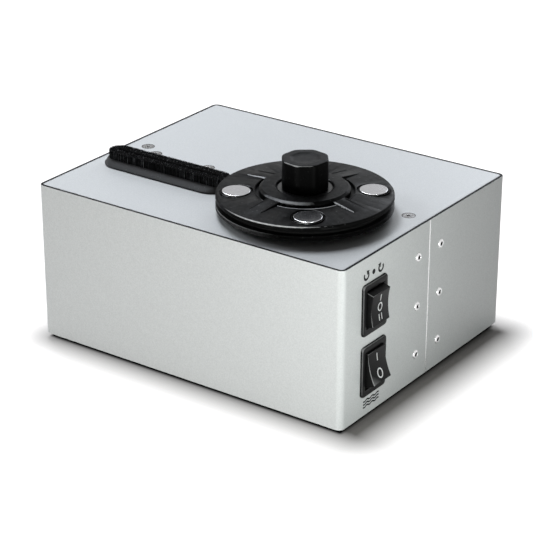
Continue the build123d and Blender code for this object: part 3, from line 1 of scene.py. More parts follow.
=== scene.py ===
# %% [markdown]
# ## A record cleaning machine, dressed piece by piece
# The machine is a box of thin sandwich panel. A platter turns on its top, a clamp with a knob
# holds the record down, and a brush with a slot in it sucks the record dry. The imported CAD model
# gives every size. This script keeps the CAD pieces whose shape is already right, gives each a
# finish, and makes new surfaces where a lathe, a mould or a bundle of bristles leaves finer
# detail than the CAD solids have.

from math import asin, pi, radians

import bmesh
import bpy
import numpy as np
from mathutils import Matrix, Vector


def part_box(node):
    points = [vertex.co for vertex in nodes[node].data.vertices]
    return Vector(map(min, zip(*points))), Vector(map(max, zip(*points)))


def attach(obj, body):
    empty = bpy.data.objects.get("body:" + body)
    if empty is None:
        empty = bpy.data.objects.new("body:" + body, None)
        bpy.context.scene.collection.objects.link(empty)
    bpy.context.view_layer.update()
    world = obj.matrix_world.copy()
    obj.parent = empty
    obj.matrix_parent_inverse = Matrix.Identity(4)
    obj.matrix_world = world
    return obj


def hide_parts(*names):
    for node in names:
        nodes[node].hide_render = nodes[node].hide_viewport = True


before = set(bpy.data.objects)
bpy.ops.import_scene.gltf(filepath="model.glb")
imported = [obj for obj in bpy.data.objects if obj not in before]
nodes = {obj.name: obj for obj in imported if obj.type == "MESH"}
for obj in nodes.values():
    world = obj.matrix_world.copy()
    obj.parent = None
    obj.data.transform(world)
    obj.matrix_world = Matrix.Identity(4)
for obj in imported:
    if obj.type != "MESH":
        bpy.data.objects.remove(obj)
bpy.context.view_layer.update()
scene = bpy.context.scene
scene.view_settings.view_transform = "Standard"
MM = 0.001

# %% [markdown]
# ## The camera
# A long lens from a distance flattens the machine a little, as in a catalogue. The camera stands
# right of the front, above it, and looks down. Its place was worked out from the corners of the
# case and is given here as numbers, so it needs no target object and no lens shift.

# %% Camera
LOOKS_DOWN, TURNED = 24.20, 35.65
lens = bpy.data.cameras.new("camera")
lens.lens = 136.1
lens.sensor_width = 36.0
camera = bpy.data.objects.new("camera", lens)
camera.location = (0.6738, -0.9463, 0.5674)
camera.rotation_euler = (radians(90 - LOOKS_DOWN), 0, radians(TURNED))
scene.collection.objects.link(camera)
scene.camera = camera
print("camera stands at", [round(value, 3) for value in camera.location])

# %% [markdown]
# ## Floor, background and light
# The object stands on a white sweep in a bright room. The floor's own paint catches the real
# shadow, and under and just round the case it is painted near black as a painted contact shadow.
# A glow that only the camera and reflections can see grows with the distance from the case, so the
# floor fades to white and the object gets no extra light from it; the glow is off near the case and
# starts farther out on the right, so it paints the falloff of the shadow. The strong soft lamps
# stand behind and to the left, so the shadow falls towards the viewer. Two low lamps, lower than
# the top panel, light the front and the right side and leave the clamp and its knob dark.


# %% Node helpers
def place(tree, kind, inputs=None, **settings):
    """Adds one shader node. Settings are its own choices; inputs are values or sockets."""
    node = tree.nodes.new("ShaderNode" + kind)
    for key, value in settings.items():
        setattr(node, key, value)
    for key, value in (inputs or {}).items():
        if isinstance(value, bpy.types.NodeSocket):
            tree.links.new(value, node.inputs[key])
        else:
            node.inputs[key].default_value = value
    return node


def maths(tree, operation, first, second):
    """The result of one sum, product or comparison of two numbers."""
    return place(tree, "Math", {0: first, 1: second}, operation=operation).outputs[0]


def vectors(tree, operation, first, second=(0, 0, 0)):
    """The result of one operation on vectors: a number for a length or a dot product."""
    node = place(tree, "VectorMath", {0: first, 1: second}, operation=operation)
    return node.outputs["Value" if operation in ("LENGTH", "DOT_PRODUCT") else "Vector"]


def ranged(tree, value, low=0.0, high=1.0, to_low=0.0, to_high=1.0):
    """A number carried from one range to another and held inside it."""
    return place(tree, "MapRange", {"Value": value, "From Min": low, "From Max": high,
                 "To Min": to_low, "To Max": to_high}).outputs[0]


def mixed(tree, share, first, second):
    """Two colours mixed by a share of the second."""
    return place(tree, "Mix", {0: share, 6: first, 7: second},
                 data_type="RGBA").outputs[2]


def shows_background(tree):
    """1 for rays from the camera, from a mirror or through glass, and 0 for light that falls."""
    path = place(tree, "LightPath").outputs
    seen = maths(tree, "MAXIMUM", path["Is Camera Ray"], path["Is Glossy Ray"])
    return maths(tree, "MAXIMUM", seen, path["Is Transmission Ray"])


def new_material(name):
    """A material with an empty node tree."""
    material = bpy.data.materials.new(name)
    material.use_nodes = True
    material.node_tree.nodes.clear()
    return material, material.node_tree


print("node helpers are ready")

# %% World
world = bpy.data.worlds.new("room")
world.use_nodes = True
scene.world = world
room = world.node_tree
room.nodes.clear()
falling = place(room, "Background", {"Color": (0.95, 0.97, 1.0, 1), "Strength": 0.02})
white = place(room, "Background", {"Color": (1, 1, 1, 1), "Strength": 1.0})
chosen = place(room, "MixShader", {0: shows_background(room), 1: falling.outputs[0],
               2: white.outputs[0]})
place(room, "OutputWorld", {"Surface": chosen.outputs[0]})
print("world glows at", falling.inputs["Strength"].default_value)

# %% Floor
sweep = bpy.data.meshes.new("floor")
sweep.from_pydata([(-4, -4, 0), (4, -4, 0), (4, 4, 0), (-4, 4, 0)], [], [(0, 1, 2, 3)])
floor = bpy.data.objects.new("floor", sweep)
scene.collection.objects.link(floor)
floor_paint, tree = new_material("floor_white")


def outline_ramp(centre, half, start, end):
    """0 to 1 between two distances from a rectangle on the floor: length of max(|p - c| - h, 0)."""
    here = place(tree, "TexCoord").outputs["Object"]
    away = vectors(tree, "ABSOLUTE", vectors(tree, "SUBTRACT", here, (*centre, 0)))
    away = vectors(tree, "MAXIMUM", vectors(tree, "SUBTRACT", away, (*half, 0)))
    return ranged(tree, vectors(tree, "LENGTH", away), start, end)


# Under and just round the case the floor paint is painted near black: a painted contact shadow.
painted_contact_shadow = outline_ramp((0, 0), (0.1095, 0.0865), 0.0005, 0.003)
# The glow is off near the case and starts farther out on the right, so it paints the shadow's
# falloff.
fade = outline_ramp((0.00675, 0), (0.11175, 0.083), 0.0, 0.028)
floor_tone_with_painted_shadow = mixed(tree, painted_contact_shadow, (0.004, 0.004, 0.004, 1), (0.265, 0.25, 0.24, 1))
matt = place(tree, "BsdfDiffuse", {"Color": floor_tone_with_painted_shadow})
lift = place(tree, "Emission", {"Color": (1, 1, 1, 1),
             "Strength": maths(tree, "MULTIPLY", fade, painted_contact_shadow)})
dark = place(tree, "Emission", {"Strength": 0.0})
glow = place(tree, "MixShader", {0: shows_background(tree), 1: dark.outputs[0],
             2: lift.outputs[0]})
both = place(tree, "AddShader", {0: matt.outputs[0], 1: glow.outputs[0]})
place(tree, "OutputMaterial", {"Surface": both.outputs[0]})
sweep.materials.append(floor_paint)
print("floor is", floor.dimensions.x, "m wide")


# %% Lamps
def lamp(name, spot, aim, size, watts, colour):
    """An area lamp (width, height) at a place in metres, turned so that it looks at the aim."""
    light = bpy.data.lights.new(name, "AREA")
    light.shape = "RECTANGLE"
    light.size, light.size_y = size
    light.energy, light.color = watts, colour
    body = bpy.data.objects.new(name, light)
    body.location = spot
    way = np.array(aim, float) - np.array(spot, float)
    body.rotation_euler = (np.arctan2(np.hypot(way[0], way[1]), -way[2]), 0,
                           np.arctan2(way[1], way[0]) - pi / 2)
    scene.collection.objects.link(body)
    print(name, watts, "W")


SKY = (0.885, 0.93, 1.0)
lamp("key", (-0.66, 0.44, 1.23), (0.05, 0, 0.1), (0.5, 0.5), 14.4, SKY)
lamp("left", (-1.20, -0.15, 0.60), (0, 0, 0.1), (0.5, 0.5), 7.0, SKY)
lamp("back", (-0.20, 1.20, 0.60), (0, 0, 0.1), (0.6, 0.6), 5.3, SKY)
lamp("front", (0.04, -0.50, 0.022), (0.02, -0.09, 0.04), (0.5, 0.04), 1.48, (0.985, 1.0, 0.99))
lamp("right", (0.31, -0.17, 0.088), (0.113, -0.05, 0.082), (0.1, 0.05), 0.45, (0.95, 1.0, 0.985))

# %% [markdown]
# ## Surfaces from numbers
# A shape here is a grid of points: one parameter runs along its rows, the other along its
# columns. numpy works out all points at once, and the faces follow from the grid's own order.
# A formula is exact, and it can be read and changed.


# %% Grid to mesh
def joined(*axes):
    """Points from their coordinates, which are numbers or arrays whose shapes fit together."""
    return np.stack(np.broadcast_arrays(*axes), axis=-1)


def grid_faces(rows, columns, wrap_rows=False, wrap_columns=True, copies=1):
    """Quads (i, j), (i, j+1), (i+1, j+1), (i+1, j) over one or more grids that may close."""
    i = np.arange(rows if wrap_rows else rows - 1)
    j = np.arange(columns if wrap_columns else columns - 1)
    i, j = np.meshgrid(i, j, indexing="ij")
    below, beside = (i + 1) % rows, (j + 1) % columns
    here, under = i * columns, below * columns
    one = joined(here + j, here + beside, under + beside, under + j).reshape(-1, 4)
    return (one[None] + rows * columns * np.arange(copies)[:, None, None]).reshape(-1, 4)


print("a 3 by 4 grid that closes sideways has", len(grid_faces(3, 4)), "faces")


# %% Mesh to piece
def stand(mesh, body, finish_name, crease=35.0):
    """Makes a smooth mesh a piece that rides on a body and has a finish."""
    mesh.shade_smooth()
    mesh.set_sharp_from_angle(angle=radians(crease))
    mesh.materials.clear()
    mesh.materials.append(finishes[finish_name])
    piece = bpy.data.objects.new(mesh.name, mesh)
    scene.collection.objects.link(piece)
    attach(piece, body)
    print(piece.name, "has", len(mesh.polygons), "faces")
    return piece


def make_piece(name, points, faces, body, finish_name, slot="", crease=35.0, weld=0.0005,
               **values):
    """A mesh piece from points in millimetres; values are one number per point, by name. The slot
    is not used. Doubled points are welded and faces turned outwards, unless the weld is 0."""
    mesh = bpy.data.meshes.new(name)
    corners = np.asarray(points).reshape(-1, 3) * MM
    mesh.from_pydata(corners.tolist(), [], np.asarray(faces).tolist())
    for label, numbers in values.items():
        layer = mesh.attributes.new(label, "FLOAT", "POINT")
        layer.data.foreach_set("value", np.asarray(numbers, np.float32).ravel())
    if weld:
        tidy = bmesh.new()
        tidy.from_mesh(mesh)
        bmesh.ops.remove_doubles(tidy, verts=tidy.verts, dist=weld * MM)
        bmesh.ops.recalc_face_normals(tidy, faces=tidy.faces)
        tidy.to_mesh(mesh)
        tidy.free()
    return stand(mesh, body, finish_name, crease)


def grid_piece(name, points, body, finish_name, wrap_rows=False, wrap_columns=True, **facts):
    """A piece from one or more grids of points; the last three sides are rows, columns, x y z."""
    rows, columns = points.shape[-3:-1]
    copies = points.size // (3 * rows * columns)
    faces = grid_faces(rows, columns, wrap_rows, wrap_columns, copies)
    return make_piece(name, points, faces, body, finish_name, **facts)


def box_mm(node):
    """Lowest and highest corner of a CAD node in millimetres."""
    low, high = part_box(node)
    return np.array(low) / MM, np.array(high) / MM


print("piece helpers are ready")


# %% Rounded profiles and outlines
def soften(points, cut, steps=5, closed=False):
    """Each corner becomes a parabola from a point a cut before it to a point a cut after it."""
    points = np.asarray(points, float)
    before = np.roll(points, 1, axis=0) - points
    after = np.roll(points, -1, axis=0) - points
    back, on = np.linalg.norm(before, axis=1), np.linalg.norm(after, axis=1)
    start = points + before * (np.minimum(cut, back / 2) / back)[:, None]
    end = points + after * (np.minimum(cut, on / 2) / on)[:, None]
    t = np.linspace(0, 1, steps)[None, :, None]
    curve = (1 - t) ** 2 * start[:, None] + 2 * t * (1 - t) * points[:, None] + t**2 * end[:, None]
    if not closed:
        curve[0], curve[-1] = points[0], points[-1]
    return curve.reshape(-1, points.shape[1])


def turned(profile, spots, across=(1, 0, 0), beside=(0, 1, 0), along=(0, 0, 1), steps=128):
    """Spot plus radius times the unit circle across the axis plus height along the axis."""
    angle = np.linspace(0, 2 * pi, steps, endpoint=False)
    circle = np.cos(angle)[:, None] * np.array(across) + np.sin(angle)[:, None] * np.array(beside)
    radius, height = np.asarray(profile, float).T
    ring = radius[:, None, None] * circle + height[:, None, None] * np.array(along)
    return np.asarray(spots, float)[:, None, None, :] + ring


def turned_piece(name, profile, spots, body, finish_name, **facts):
    """A lathe shape at one or more spots; facts give the axes and the number of steps."""
    return grid_piece(name, turned(profile, spots, **facts), body, finish_name)


def lifted(rings, heights):
    """Flat outlines, one per row, each lifted to its own height."""
    return joined(rings[..., 0], rings[..., 1], np.reshape(heights, (-1, 1)))


square = soften([(0, 0), (1, 0), (1, 1), (0, 1)], 0.2, closed=True)
print("a softened square has", len(square), "points")

# %% [markdown]
# ## Shared effects
# Several finishes need the same things: a fine mottle of two tones, a grain that the light
# catches, edges rubbed paler, painted highlights on edges and faces that face one way, and specks
# of dust on what faces up. Each effect is built once as a shader node group with named inputs.
# A material places the group and gives it its own values.


# %% Group helpers
def new_group(name, inputs, outputs):
    """An empty shader group with these sockets, the values given to it and its output node."""
    tree = bpy.data.node_groups.new(name, "ShaderNodeTree")
    for label, kind, value in inputs:
        tree.interface.new_socket(label, in_out="INPUT", socket_type=kind).default_value = value
    for label, kind in outputs:
        tree.interface.new_socket(label, in_out="OUTPUT", socket_type=kind)
    return tree, tree.nodes.new("NodeGroupInput").outputs, tree.nodes.new("NodeGroupOutput").inputs


def noise(tree, scale, detail, roughness=0.5):
    """A cloudy value from 0 to 1 in the piece's own space."""
    here = place(tree, "TexCoord").outputs["Object"]
    return place(tree, "TexNoise", {"Vector": here, "Scale": scale, "Detail": detail,
                 "Roughness": roughness}).outputs["Fac"]


def effect(tree, group, **values):
    """One of the groups placed in a material; a low line in a label stands for a space."""
    named = {label.replace("_", " "): value for label, value in values.items()}
    return place(tree, "Group", named, node_tree=group).outputs


FLOAT, COLOUR, VECTOR = "NodeSocketFloat", "NodeSocketColor", "NodeSocketVector"
print("socket kinds:", FLOAT, COLOUR, VECTOR)

# %% Mottle: noise that blends two colours and two roughnesses
mottle, given, told = new_group(
    "mottle",
    [("Scale", FLOAT, 400.0), ("Dark", COLOUR, (0, 0, 0, 1)), ("Light", COLOUR, (1, 1, 1, 1)),
     ("Rough low", FLOAT, 0.4), ("Rough high", FLOAT, 0.5), ("Contrast", FLOAT, 0.3)],
    [("Color", COLOUR), ("Roughness", FLOAT)])
cloud = noise(mottle, given["Scale"], 4.0, 0.6)
share = ranged(mottle, cloud, maths(mottle, "SUBTRACT", 0.5, given["Contrast"]),
               maths(mottle, "ADD", 0.5, given["Contrast"]))
rough = ranged(mottle, share, 0.0, 1.0, given["Rough low"], given["Rough high"])
mottle.links.new(mixed(mottle, share, given["Dark"], given["Light"]), told["Color"])
mottle.links.new(rough, told["Roughness"])
print("mottle has", len(mottle.nodes), "nodes")

# %% Grain: a fine noise pressed into the normal
grain, given, told = new_group(
    "grain", [("Scale", FLOAT, 2000.0), ("Strength", FLOAT, 0.3), ("Depth", FLOAT, 0.0001)],
    [("Normal", VECTOR)])
press = place(grain, "Bump", {"Strength": given["Strength"], "Distance": given["Depth"],
              "Height": noise(grain, given["Scale"], 3.0)})
grain.links.new(press.outputs[0], told["Normal"])
print("grain has", len(grain.nodes), "nodes")

# %% Edge wear and painted highlights: where a rounded normal leaves the true one, on one side if asked, broken by noise; with Rounded set it paints highlights and lighter tops on what faces one way
edge_wear_and_highlight, given, told = new_group(
    "edge_wear_and_highlight", [("Radius", FLOAT, 0.0004), ("Amount", FLOAT, 0.5), ("Scale", FLOAT, 300.0),
                  ("Unbroken", FLOAT, 0.0), ("Toward", VECTOR, (0, 0, 0)), ("Least", FLOAT, -1.0),
                  ("Most", FLOAT, 0.0), ("Rounded", FLOAT, 0.0)],
    [("Mask", FLOAT)])
round_normal = place(edge_wear_and_highlight, "Bevel", {"Radius": given["Radius"]},
                     samples=6).outputs[0]
true_normal = place(edge_wear_and_highlight, "NewGeometry").outputs["Normal"]
edge = ranged(edge_wear_and_highlight, vectors(edge_wear_and_highlight, "DOT_PRODUCT", round_normal, true_normal), 0.99, 0.80)
edge = maths(edge_wear_and_highlight, "MAXIMUM", edge, given["Rounded"])
side = ranged(edge_wear_and_highlight, vectors(edge_wear_and_highlight, "DOT_PRODUCT", round_normal, given["Toward"]),
              given["Least"], given["Most"])
patch = ranged(edge_wear_and_highlight, noise(edge_wear_and_highlight, given["Scale"], 3.0), 0.35, 0.65, given["Unbroken"])
wear_and_highlight_mask = edge
for factor in (patch, side, given["Amount"]):
    wear_and_highlight_mask = maths(edge_wear_and_highlight, "MULTIPLY", wear_and_highlight_mask, factor)
edge_wear_and_highlight.links.new(wear_and_highlight_mask, told["Mask"])
print("edge wear has", len(edge_wear_and_highlight.nodes), "nodes")

# %% Specks: small dust grains, thicker on what faces up
specks, given, told = new_group(
    "specks", [("Scale", FLOAT, 900.0), ("Amount", FLOAT, 0.2)], [("Mask", FLOAT)])
here = place(specks, "TexCoord").outputs["Object"]
cells = place(specks, "TexVoronoi", {"Vector": here, "Scale": given["Scale"]}).outputs
tint = place(specks, "SeparateColor", {0: cells["Color"]}).outputs[0]
near = maths(specks, "LESS_THAN", cells["Distance"], ranged(specks, tint, 0.80, 1.0, 0.0, 0.42))
facing = place(specks, "NewGeometry").outputs["Normal"]
up = place(specks, "SeparateXYZ", {0: facing}).outputs["Z"]
mask = maths(specks, "MULTIPLY", near, ranged(specks, up, -0.2, 0.9, 0.15, 1.0))
specks.links.new(maths(specks, "MULTIPLY", mask, given["Amount"]), told["Mask"])
print("specks have", len(specks.nodes), "nodes")

# %% [markdown]
# ## Finishes
# Every real surface here is one of a few kinds: a satin metal skin, moulded black plastic, rubber,
# turned or plated metal, bristle. One function joins the shared effects to a Principled BSDF, and
# a table gives the numbers for each finish. What is the same all over a surface, such as its
# specular level, is set on the shader itself.


# %% One finish
def tone(value):
    """A colour with full alpha, from three numbers or from one for a grey."""
    return (*value, 1.0) if isinstance(value, tuple) else (value, value, value, 1.0)


def finish(name, dark, light, rough, metallic=0.0, scale=400.0, contrast=0.3, grain_scale=2000.0,
           grain_strength=0.2, wear=0.0, wear_and_glint_tone=0.2, edge_radius=0.0004, painted_highlights=(), dust=0.0,
           dust_tone=0.5, dust_scale=900.0, specular=0.5, subsurface=0.0):
    """A material: mottle, pale edges that are wear and, on the pale screws, a painted highlight,
    painted highlights on what faces one way, dust, over grain. A painted highlight is (way it
    faces, least and most of the dot product, tone, unbroken share)."""
    material, tree = new_material(name)
    base = effect(tree, mottle, Scale=scale, Dark=tone(dark), Light=tone(light),
                  Rough_low=rough[0], Rough_high=rough[1], Contrast=contrast)
    colour = base["Color"]
    if wear:
        wear_and_glint_mask = effect(tree, edge_wear_and_highlight, Radius=edge_radius, Amount=wear)
        colour = mixed(tree, wear_and_glint_mask["Mask"], colour, tone(wear_and_glint_tone))
    # Each entry paints a highlight, or a lighter top, on what faces one way.
    for toward, least, most, bright, unbroken in painted_highlights:
        lit = effect(tree, edge_wear_and_highlight, Toward=toward, Least=least, Most=most, Amount=1.0,
                     Unbroken=unbroken, Rounded=1.0, Radius=edge_radius)
        colour = mixed(tree, lit["Mask"], colour, tone(bright))
    if dust:
        grains = effect(tree, specks, Scale=dust_scale, Amount=dust)
        colour = mixed(tree, grains["Mask"], colour, tone(dust_tone))
    pressed = effect(tree, grain, Scale=grain_scale, Strength=grain_strength)
    shader = place(tree, "BsdfPrincipled", {
        "Base Color": colour, "Metallic": metallic, "Roughness": base["Roughness"],
        "Normal": pressed["Normal"], "Specular IOR Level": specular,
        "Subsurface Weight": subsurface})
    place(tree, "OutputMaterial", {"Surface": shader.outputs[0]})
    finishes[name] = material


finishes = {}
# Ways that painted highlights face; a painted highlight that faces UP makes tops lighter than
# sides.
UP, FRONT_UP, RIGHT_UP = (0, 0, 1), (0.14, -0.81, 0.57), (0.60, -0.56, 0.57)
BACK_UP, CORNER_UP, SIDE_UP = (0.05, 0.66, 0.75), (0.42, -0.60, 0.68), (-0.38, -0.82, 0.42)
print("finish() is ready")

# %% Sheet, metal and screws
finish("panel_paint", (0.475, 0.485, 0.48), (0.615, 0.625, 0.62), (0.42, 0.52), 0.1, scale=1500.0,
       contrast=0.26, grain_scale=2600.0, grain_strength=0.45)
finish("panel_core", 0.004, 0.010, (0.6, 0.75), scale=900.0, specular=0.1)
finish("rivet_alloy", 0.66, 0.80, (0.22, 0.34), 1.0, scale=800.0, wear=0.4, wear_and_glint_tone=0.95)
finish("screw_steel", (0.50, 0.51, 0.53), (0.68, 0.69, 0.71), (0.2, 0.34), 1.0, scale=900.0,
       wear=0.5, wear_and_glint_tone=0.9)
# A bright highlight is painted on the disc edges that face front and up.
finish("polished_steel", (0.31, 0.31, 0.32), (0.39, 0.39, 0.40), (0.17, 0.22), 1.0, scale=900.0,
       contrast=0.25, grain_scale=1800.0, grain_strength=0.06, edge_radius=0.0005,
       painted_highlights=[(FRONT_UP, 0.80, 0.93, 0.95, 1.0)])
finish("washer_steel", 0.012, 0.025, (0.24, 0.36), 0.4, scale=500.0, specular=0.1)
# Every rounded rim of these screw heads is painted near white at full strength: partly wear, mostly
# a painted highlight.
finish("screw_pale", 0.05, 0.30, (0.2, 0.35), 1.0, scale=900.0, wear=1.0, wear_and_glint_tone=0.95,
       edge_radius=0.0006)
finish("gearbox_alloy", 0.46, 0.56, (0.42, 0.6), 0.9, scale=500.0, grain_strength=0.5)
finish("motor_paint", 0.02, 0.035, (0.32, 0.45), 0.2, scale=400.0, wear=0.3)
print("sheet and metal finishes:", len(finishes))

# %% Plastic, rubber and the rest
# A highlight is painted on the edges that face front, left and up; the dust is real.
finish("platter_black", 0.002, 0.005, (0.34, 0.46), scale=500.0, edge_radius=0.0001,
       painted_highlights=[(SIDE_UP, 0.80, 0.98, 0.30, 0.75)], dust=0.08, specular=0.05)
# Painted light: tops are painted a little lighter than the sides, and bright highlights are painted
# on edges that face front and up and on edges that face back and up.
finish("clamp_black", 0.001, 0.004, (0.30, 0.44), scale=160.0, contrast=0.22, edge_radius=0.0007,
       painted_highlights=[(UP, 0.90, 1.0, 0.018, 0.3), (FRONT_UP, 0.86, 0.97, 0.75, 0.75),
               (BACK_UP, 0.95, 0.995, 0.30, 0.8)], dust=0.06, dust_scale=700.0, specular=0.02)
# A copy of the clamp's black with a bright highlight painted on what faces front and up.
finish("ramp_edge_highlight", 0.001, 0.004, (0.30, 0.44), scale=160.0, edge_radius=0.0002,
       painted_highlights=[(FRONT_UP, 0.72, 0.88, 1.0, 1.0)], specular=0.02)
# A copy of the clamp's black with a bright highlight painted on what faces front, right and up.
finish("lip_edge_highlight", 0.001, 0.004, (0.30, 0.44), scale=160.0, edge_radius=0.0002,
       painted_highlights=[(CORNER_UP, 0.76, 0.86, 1.0, 1.0)], specular=0.02)
# Painted light: the top is painted lighter than the sides, and a bright highlight is painted on
# what faces front and up.
finish("knob_black", 0.0005, 0.0015, (0.34, 0.46), scale=500.0,
       painted_highlights=[(UP, 0.92, 1.0, 0.034, 0.7), (FRONT_UP, 0.86, 0.97, 0.50, 0.75)], dust=0.04,
       specular=0.02)
finish("mat_rubber", 0.004, 0.008, (0.7, 0.85), scale=700.0, grain_strength=0.6, specular=0.05)
finish("seal_rubber", 0.002, 0.005, (0.6, 0.8), scale=700.0, grain_strength=0.5, specular=0.05)
finish("foot_rubber", 0.010, 0.018, (0.7, 0.85), scale=500.0, grain_strength=0.6)
finish("hose_rubber", 0.02, 0.035, (0.5, 0.65), scale=300.0, grain_strength=0.4)
finish("nozzle_grey", 0.016, 0.028, (0.42, 0.56), scale=350.0, wear=0.5, wear_and_glint_tone=0.14, dust=0.15,
       dust_tone=0.30, specular=0.1)
finish("tank_plastic", (0.66, 0.68, 0.68), (0.74, 0.76, 0.76), (0.32, 0.45), scale=80.0,
       subsurface=0.15)
finish("drain_plastic", 0.014, 0.024, (0.36, 0.5), scale=400.0, wear=0.4)
# A highlight is painted on the edges that face right, front and up.
finish("switch_black", 0.004, 0.009, (0.36, 0.48), scale=600.0, edge_radius=0.0005,
       painted_highlights=[(RIGHT_UP, 0.74, 0.88, 0.20, 0.75)], specular=0.10)
# A highlight is painted on the edges that face right, front and up.
finish("rocker_black", 0.003, 0.008, (0.28, 0.38), scale=700.0, edge_radius=0.0005,
       painted_highlights=[(RIGHT_UP, 0.80, 0.90, 0.30, 0.85)], specular=0.08)
finish("inlet_black", 0.012, 0.02, (0.4, 0.55), scale=500.0, wear=0.4)
finish("board_green", (0.012, 0.09, 0.04), (0.02, 0.14, 0.06), (0.3, 0.42), scale=250.0,
       contrast=0.06)
finish("mark_black", 0.008, 0.02, (0.45, 0.6), scale=1800.0, specular=0.1)
print("all finishes so far:", len(finishes))

# %% Finishes without wear or dust
# name, dark, light, least and most roughness, metallic, scale
for row in (
    ("zinc_sheet", (0.55, 0.56, 0.57), (0.70, 0.71, 0.73), (0.3, 0.45), 0.9, 120.0),
    ("turned_alloy", 0.60, 0.74, (0.28, 0.4), 1.0, 500.0),
    ("spindle_steel", 0.58, 0.72, (0.14, 0.24), 1.0, 700.0),
    ("bronze", (0.42, 0.26, 0.13), (0.55, 0.36, 0.19), (0.34, 0.5), 1.0, 600.0),
    ("insert_brass", (0.62, 0.45, 0.20), (0.75, 0.56, 0.28), (0.24, 0.4), 1.0, 700.0),
    ("contact_brass", (0.60, 0.46, 0.24), (0.76, 0.60, 0.34), (0.2, 0.34), 1.0, 700.0),
    ("capacitor_alloy", 0.62, 0.74, (0.25, 0.4), 1.0, 400.0),
    ("lead_rubber", 0.03, 0.05, (0.4, 0.55), 0.0, 500.0),
    ("duct_plastic", 0.03, 0.045, (0.4, 0.55), 0.0, 300.0),
    ("lid_plastic", 0.05, 0.07, (0.4, 0.55), 0.0, 300.0),
    ("fan_plastic", 0.03, 0.045, (0.42, 0.55), 0.0, 300.0),
    ("impeller_plastic", (0.10, 0.11, 0.12), (0.14, 0.15, 0.16), (0.4, 0.5), 0.0, 300.0),
    ("relay_plastic", (0.02, 0.05, 0.14), (0.03, 0.07, 0.18), (0.3, 0.4), 0.0, 400.0),
    ("mark_white", 0.55, 0.78, (0.45, 0.6), 0.0, 1800.0)):
    finish(*row)
print("with the plain ones:", len(finishes))

# %% [markdown]
# ## Bristle
# A bristle is a thin black hair. Each hair carries one number that says how pale it is. A few
# hairs are pale partly with dust and partly as painted highlights on hairs that catch the light,
# and the paleness grows towards each tip as a painted highlight on the ends. The material reads
# that number as an attribute, so the tone follows the hair and not its place in space.

# %% Bristle finish
bristle, tree = new_material("bristle")
hair_tone = place(tree, "Attribute", attribute_name="pale").outputs["Fac"]
black_hair = effect(tree, mottle, Scale=1500.0, Dark=tone(0.004), Light=tone(0.010))
# Pale hairs are partly dust and partly painted highlight.
hair_colour = mixed(tree, hair_tone, black_hair["Color"], tone((0.62, 0.63, 0.64)))
hair = place(tree, "BsdfPrincipled", {"Base Color": hair_colour,
             "Roughness": black_hair["Roughness"], "Specular IOR Level": 0.05})
place(tree, "OutputMaterial", {"Surface": hair.outputs[0]})
finishes["bristle"] = bristle
print("finishes:", len(finishes))

# %% [markdown]
# ## The CAD pieces
# Most CAD nodes already have the right shape: sheets, boards, leads, tank and motor. Each keeps
# its mesh and takes the finish whose name is its material slot in the record.

# %% Dress every CAD node
slot_of = {}
for name, node in nodes.items():
    slot_of[name] = node.material_slots[0].material.name.split(".")[0]
    for holder in node.material_slots:
        holder.material = finishes[slot_of[name]]
print("nodes by finish:", len(set(slot_of.values())), "finishes on", len(slot_of), "nodes")

# %% [markdown]
# ## Softened copies
# Moulded and machined pieces never have razor edges, and a rounded edge is what draws a bright
# line under a lamp. A CAD node is a loose heap of triangles, so a copy is merged first, its flat
# triangles are joined into whole faces, and a Bevel modifier then rounds the sharp edges.


# %% Softened copy of a CAD node
def softened(node, body, width, angle=28.0, finish_name=None):
    """A merged copy of a node with edges sharper than angle rounded by width in millimetres."""
    mesh = nodes[node].data.copy()
    mesh.name = node + "_soft"
    tidy = bmesh.new()
    tidy.from_mesh(mesh)
    bmesh.ops.remove_doubles(tidy, verts=tidy.verts, dist=0.002 * MM)
    bmesh.ops.dissolve_degenerate(tidy, edges=tidy.edges, dist=0.002 * MM)
    bmesh.ops.dissolve_limit(tidy, angle_limit=radians(0.4), verts=tidy.verts, edges=tidy.edges)
    tidy.to_mesh(mesh)
    tidy.free()
    piece = stand(mesh, body, finish_name or slot_of[node])
    edge = piece.modifiers.new("edge", "BEVEL")
    edge.width = width * MM
    edge.segments = 2
    edge.limit_method = "ANGLE"
    edge.angle_limit = radians(angle)
    edge.harden_normals = True
    edge.use_clamp_overlap = True
    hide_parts(node)


softened("clamp_disc", "clamp", 0.28)
softened("mains_inlet", "case", 0.35)
softened("feet", "case", 0.4)
softened("top_screws", "case", 0.12, finish_name="screw_pale")

# %% [markdown]
# ## Platter
# The platter is a turned disc. Its edge carries fine rounded grooves, so that a finger can stop
# it. A lathe profile gives this exactly: distance from the spindle and height, carried once round.

# %% Platter
low, high = box_mm("platter")
spindle = np.array([(low[0] + high[0]) / 2, (low[1] + high[1]) / 2, 0.0])
radius, rib_z, face_z = (high[0] - low[0]) / 2, low[2], high[2]
web_z, edge_z = rib_z + 1.2, rib_z + 1.5
turn = np.linspace(0, 1, 51)
height = edge_z + 0.3 + turn * (face_z - edge_z - 0.6)
dips = radius - 0.36 * (0.5 - 0.5 * np.cos(2 * pi * 5 * turn)) ** 0.7
profile = np.concatenate([
    [(3.65, web_z), (46.0, web_z), (46.0, rib_z), (49.0, rib_z), (49.0, edge_z),
     (radius - 0.4, edge_z), (radius - 0.12, edge_z + 0.1)],
    joined(dips, height),
    [(radius - 0.12, face_z - 0.1), (radius - 0.4, face_z), (16.0, face_z),
     (15.6, face_z - 0.06), (3.65, face_z - 0.06), (3.65, web_z)]])
platter = turned_piece("platter_turned", profile, [spindle], "platter", "platter_black", steps=192)
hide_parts("platter")
print("platter radius", round(radius, 2), "mm, from", round(rib_z, 2), "to", round(face_z, 2))

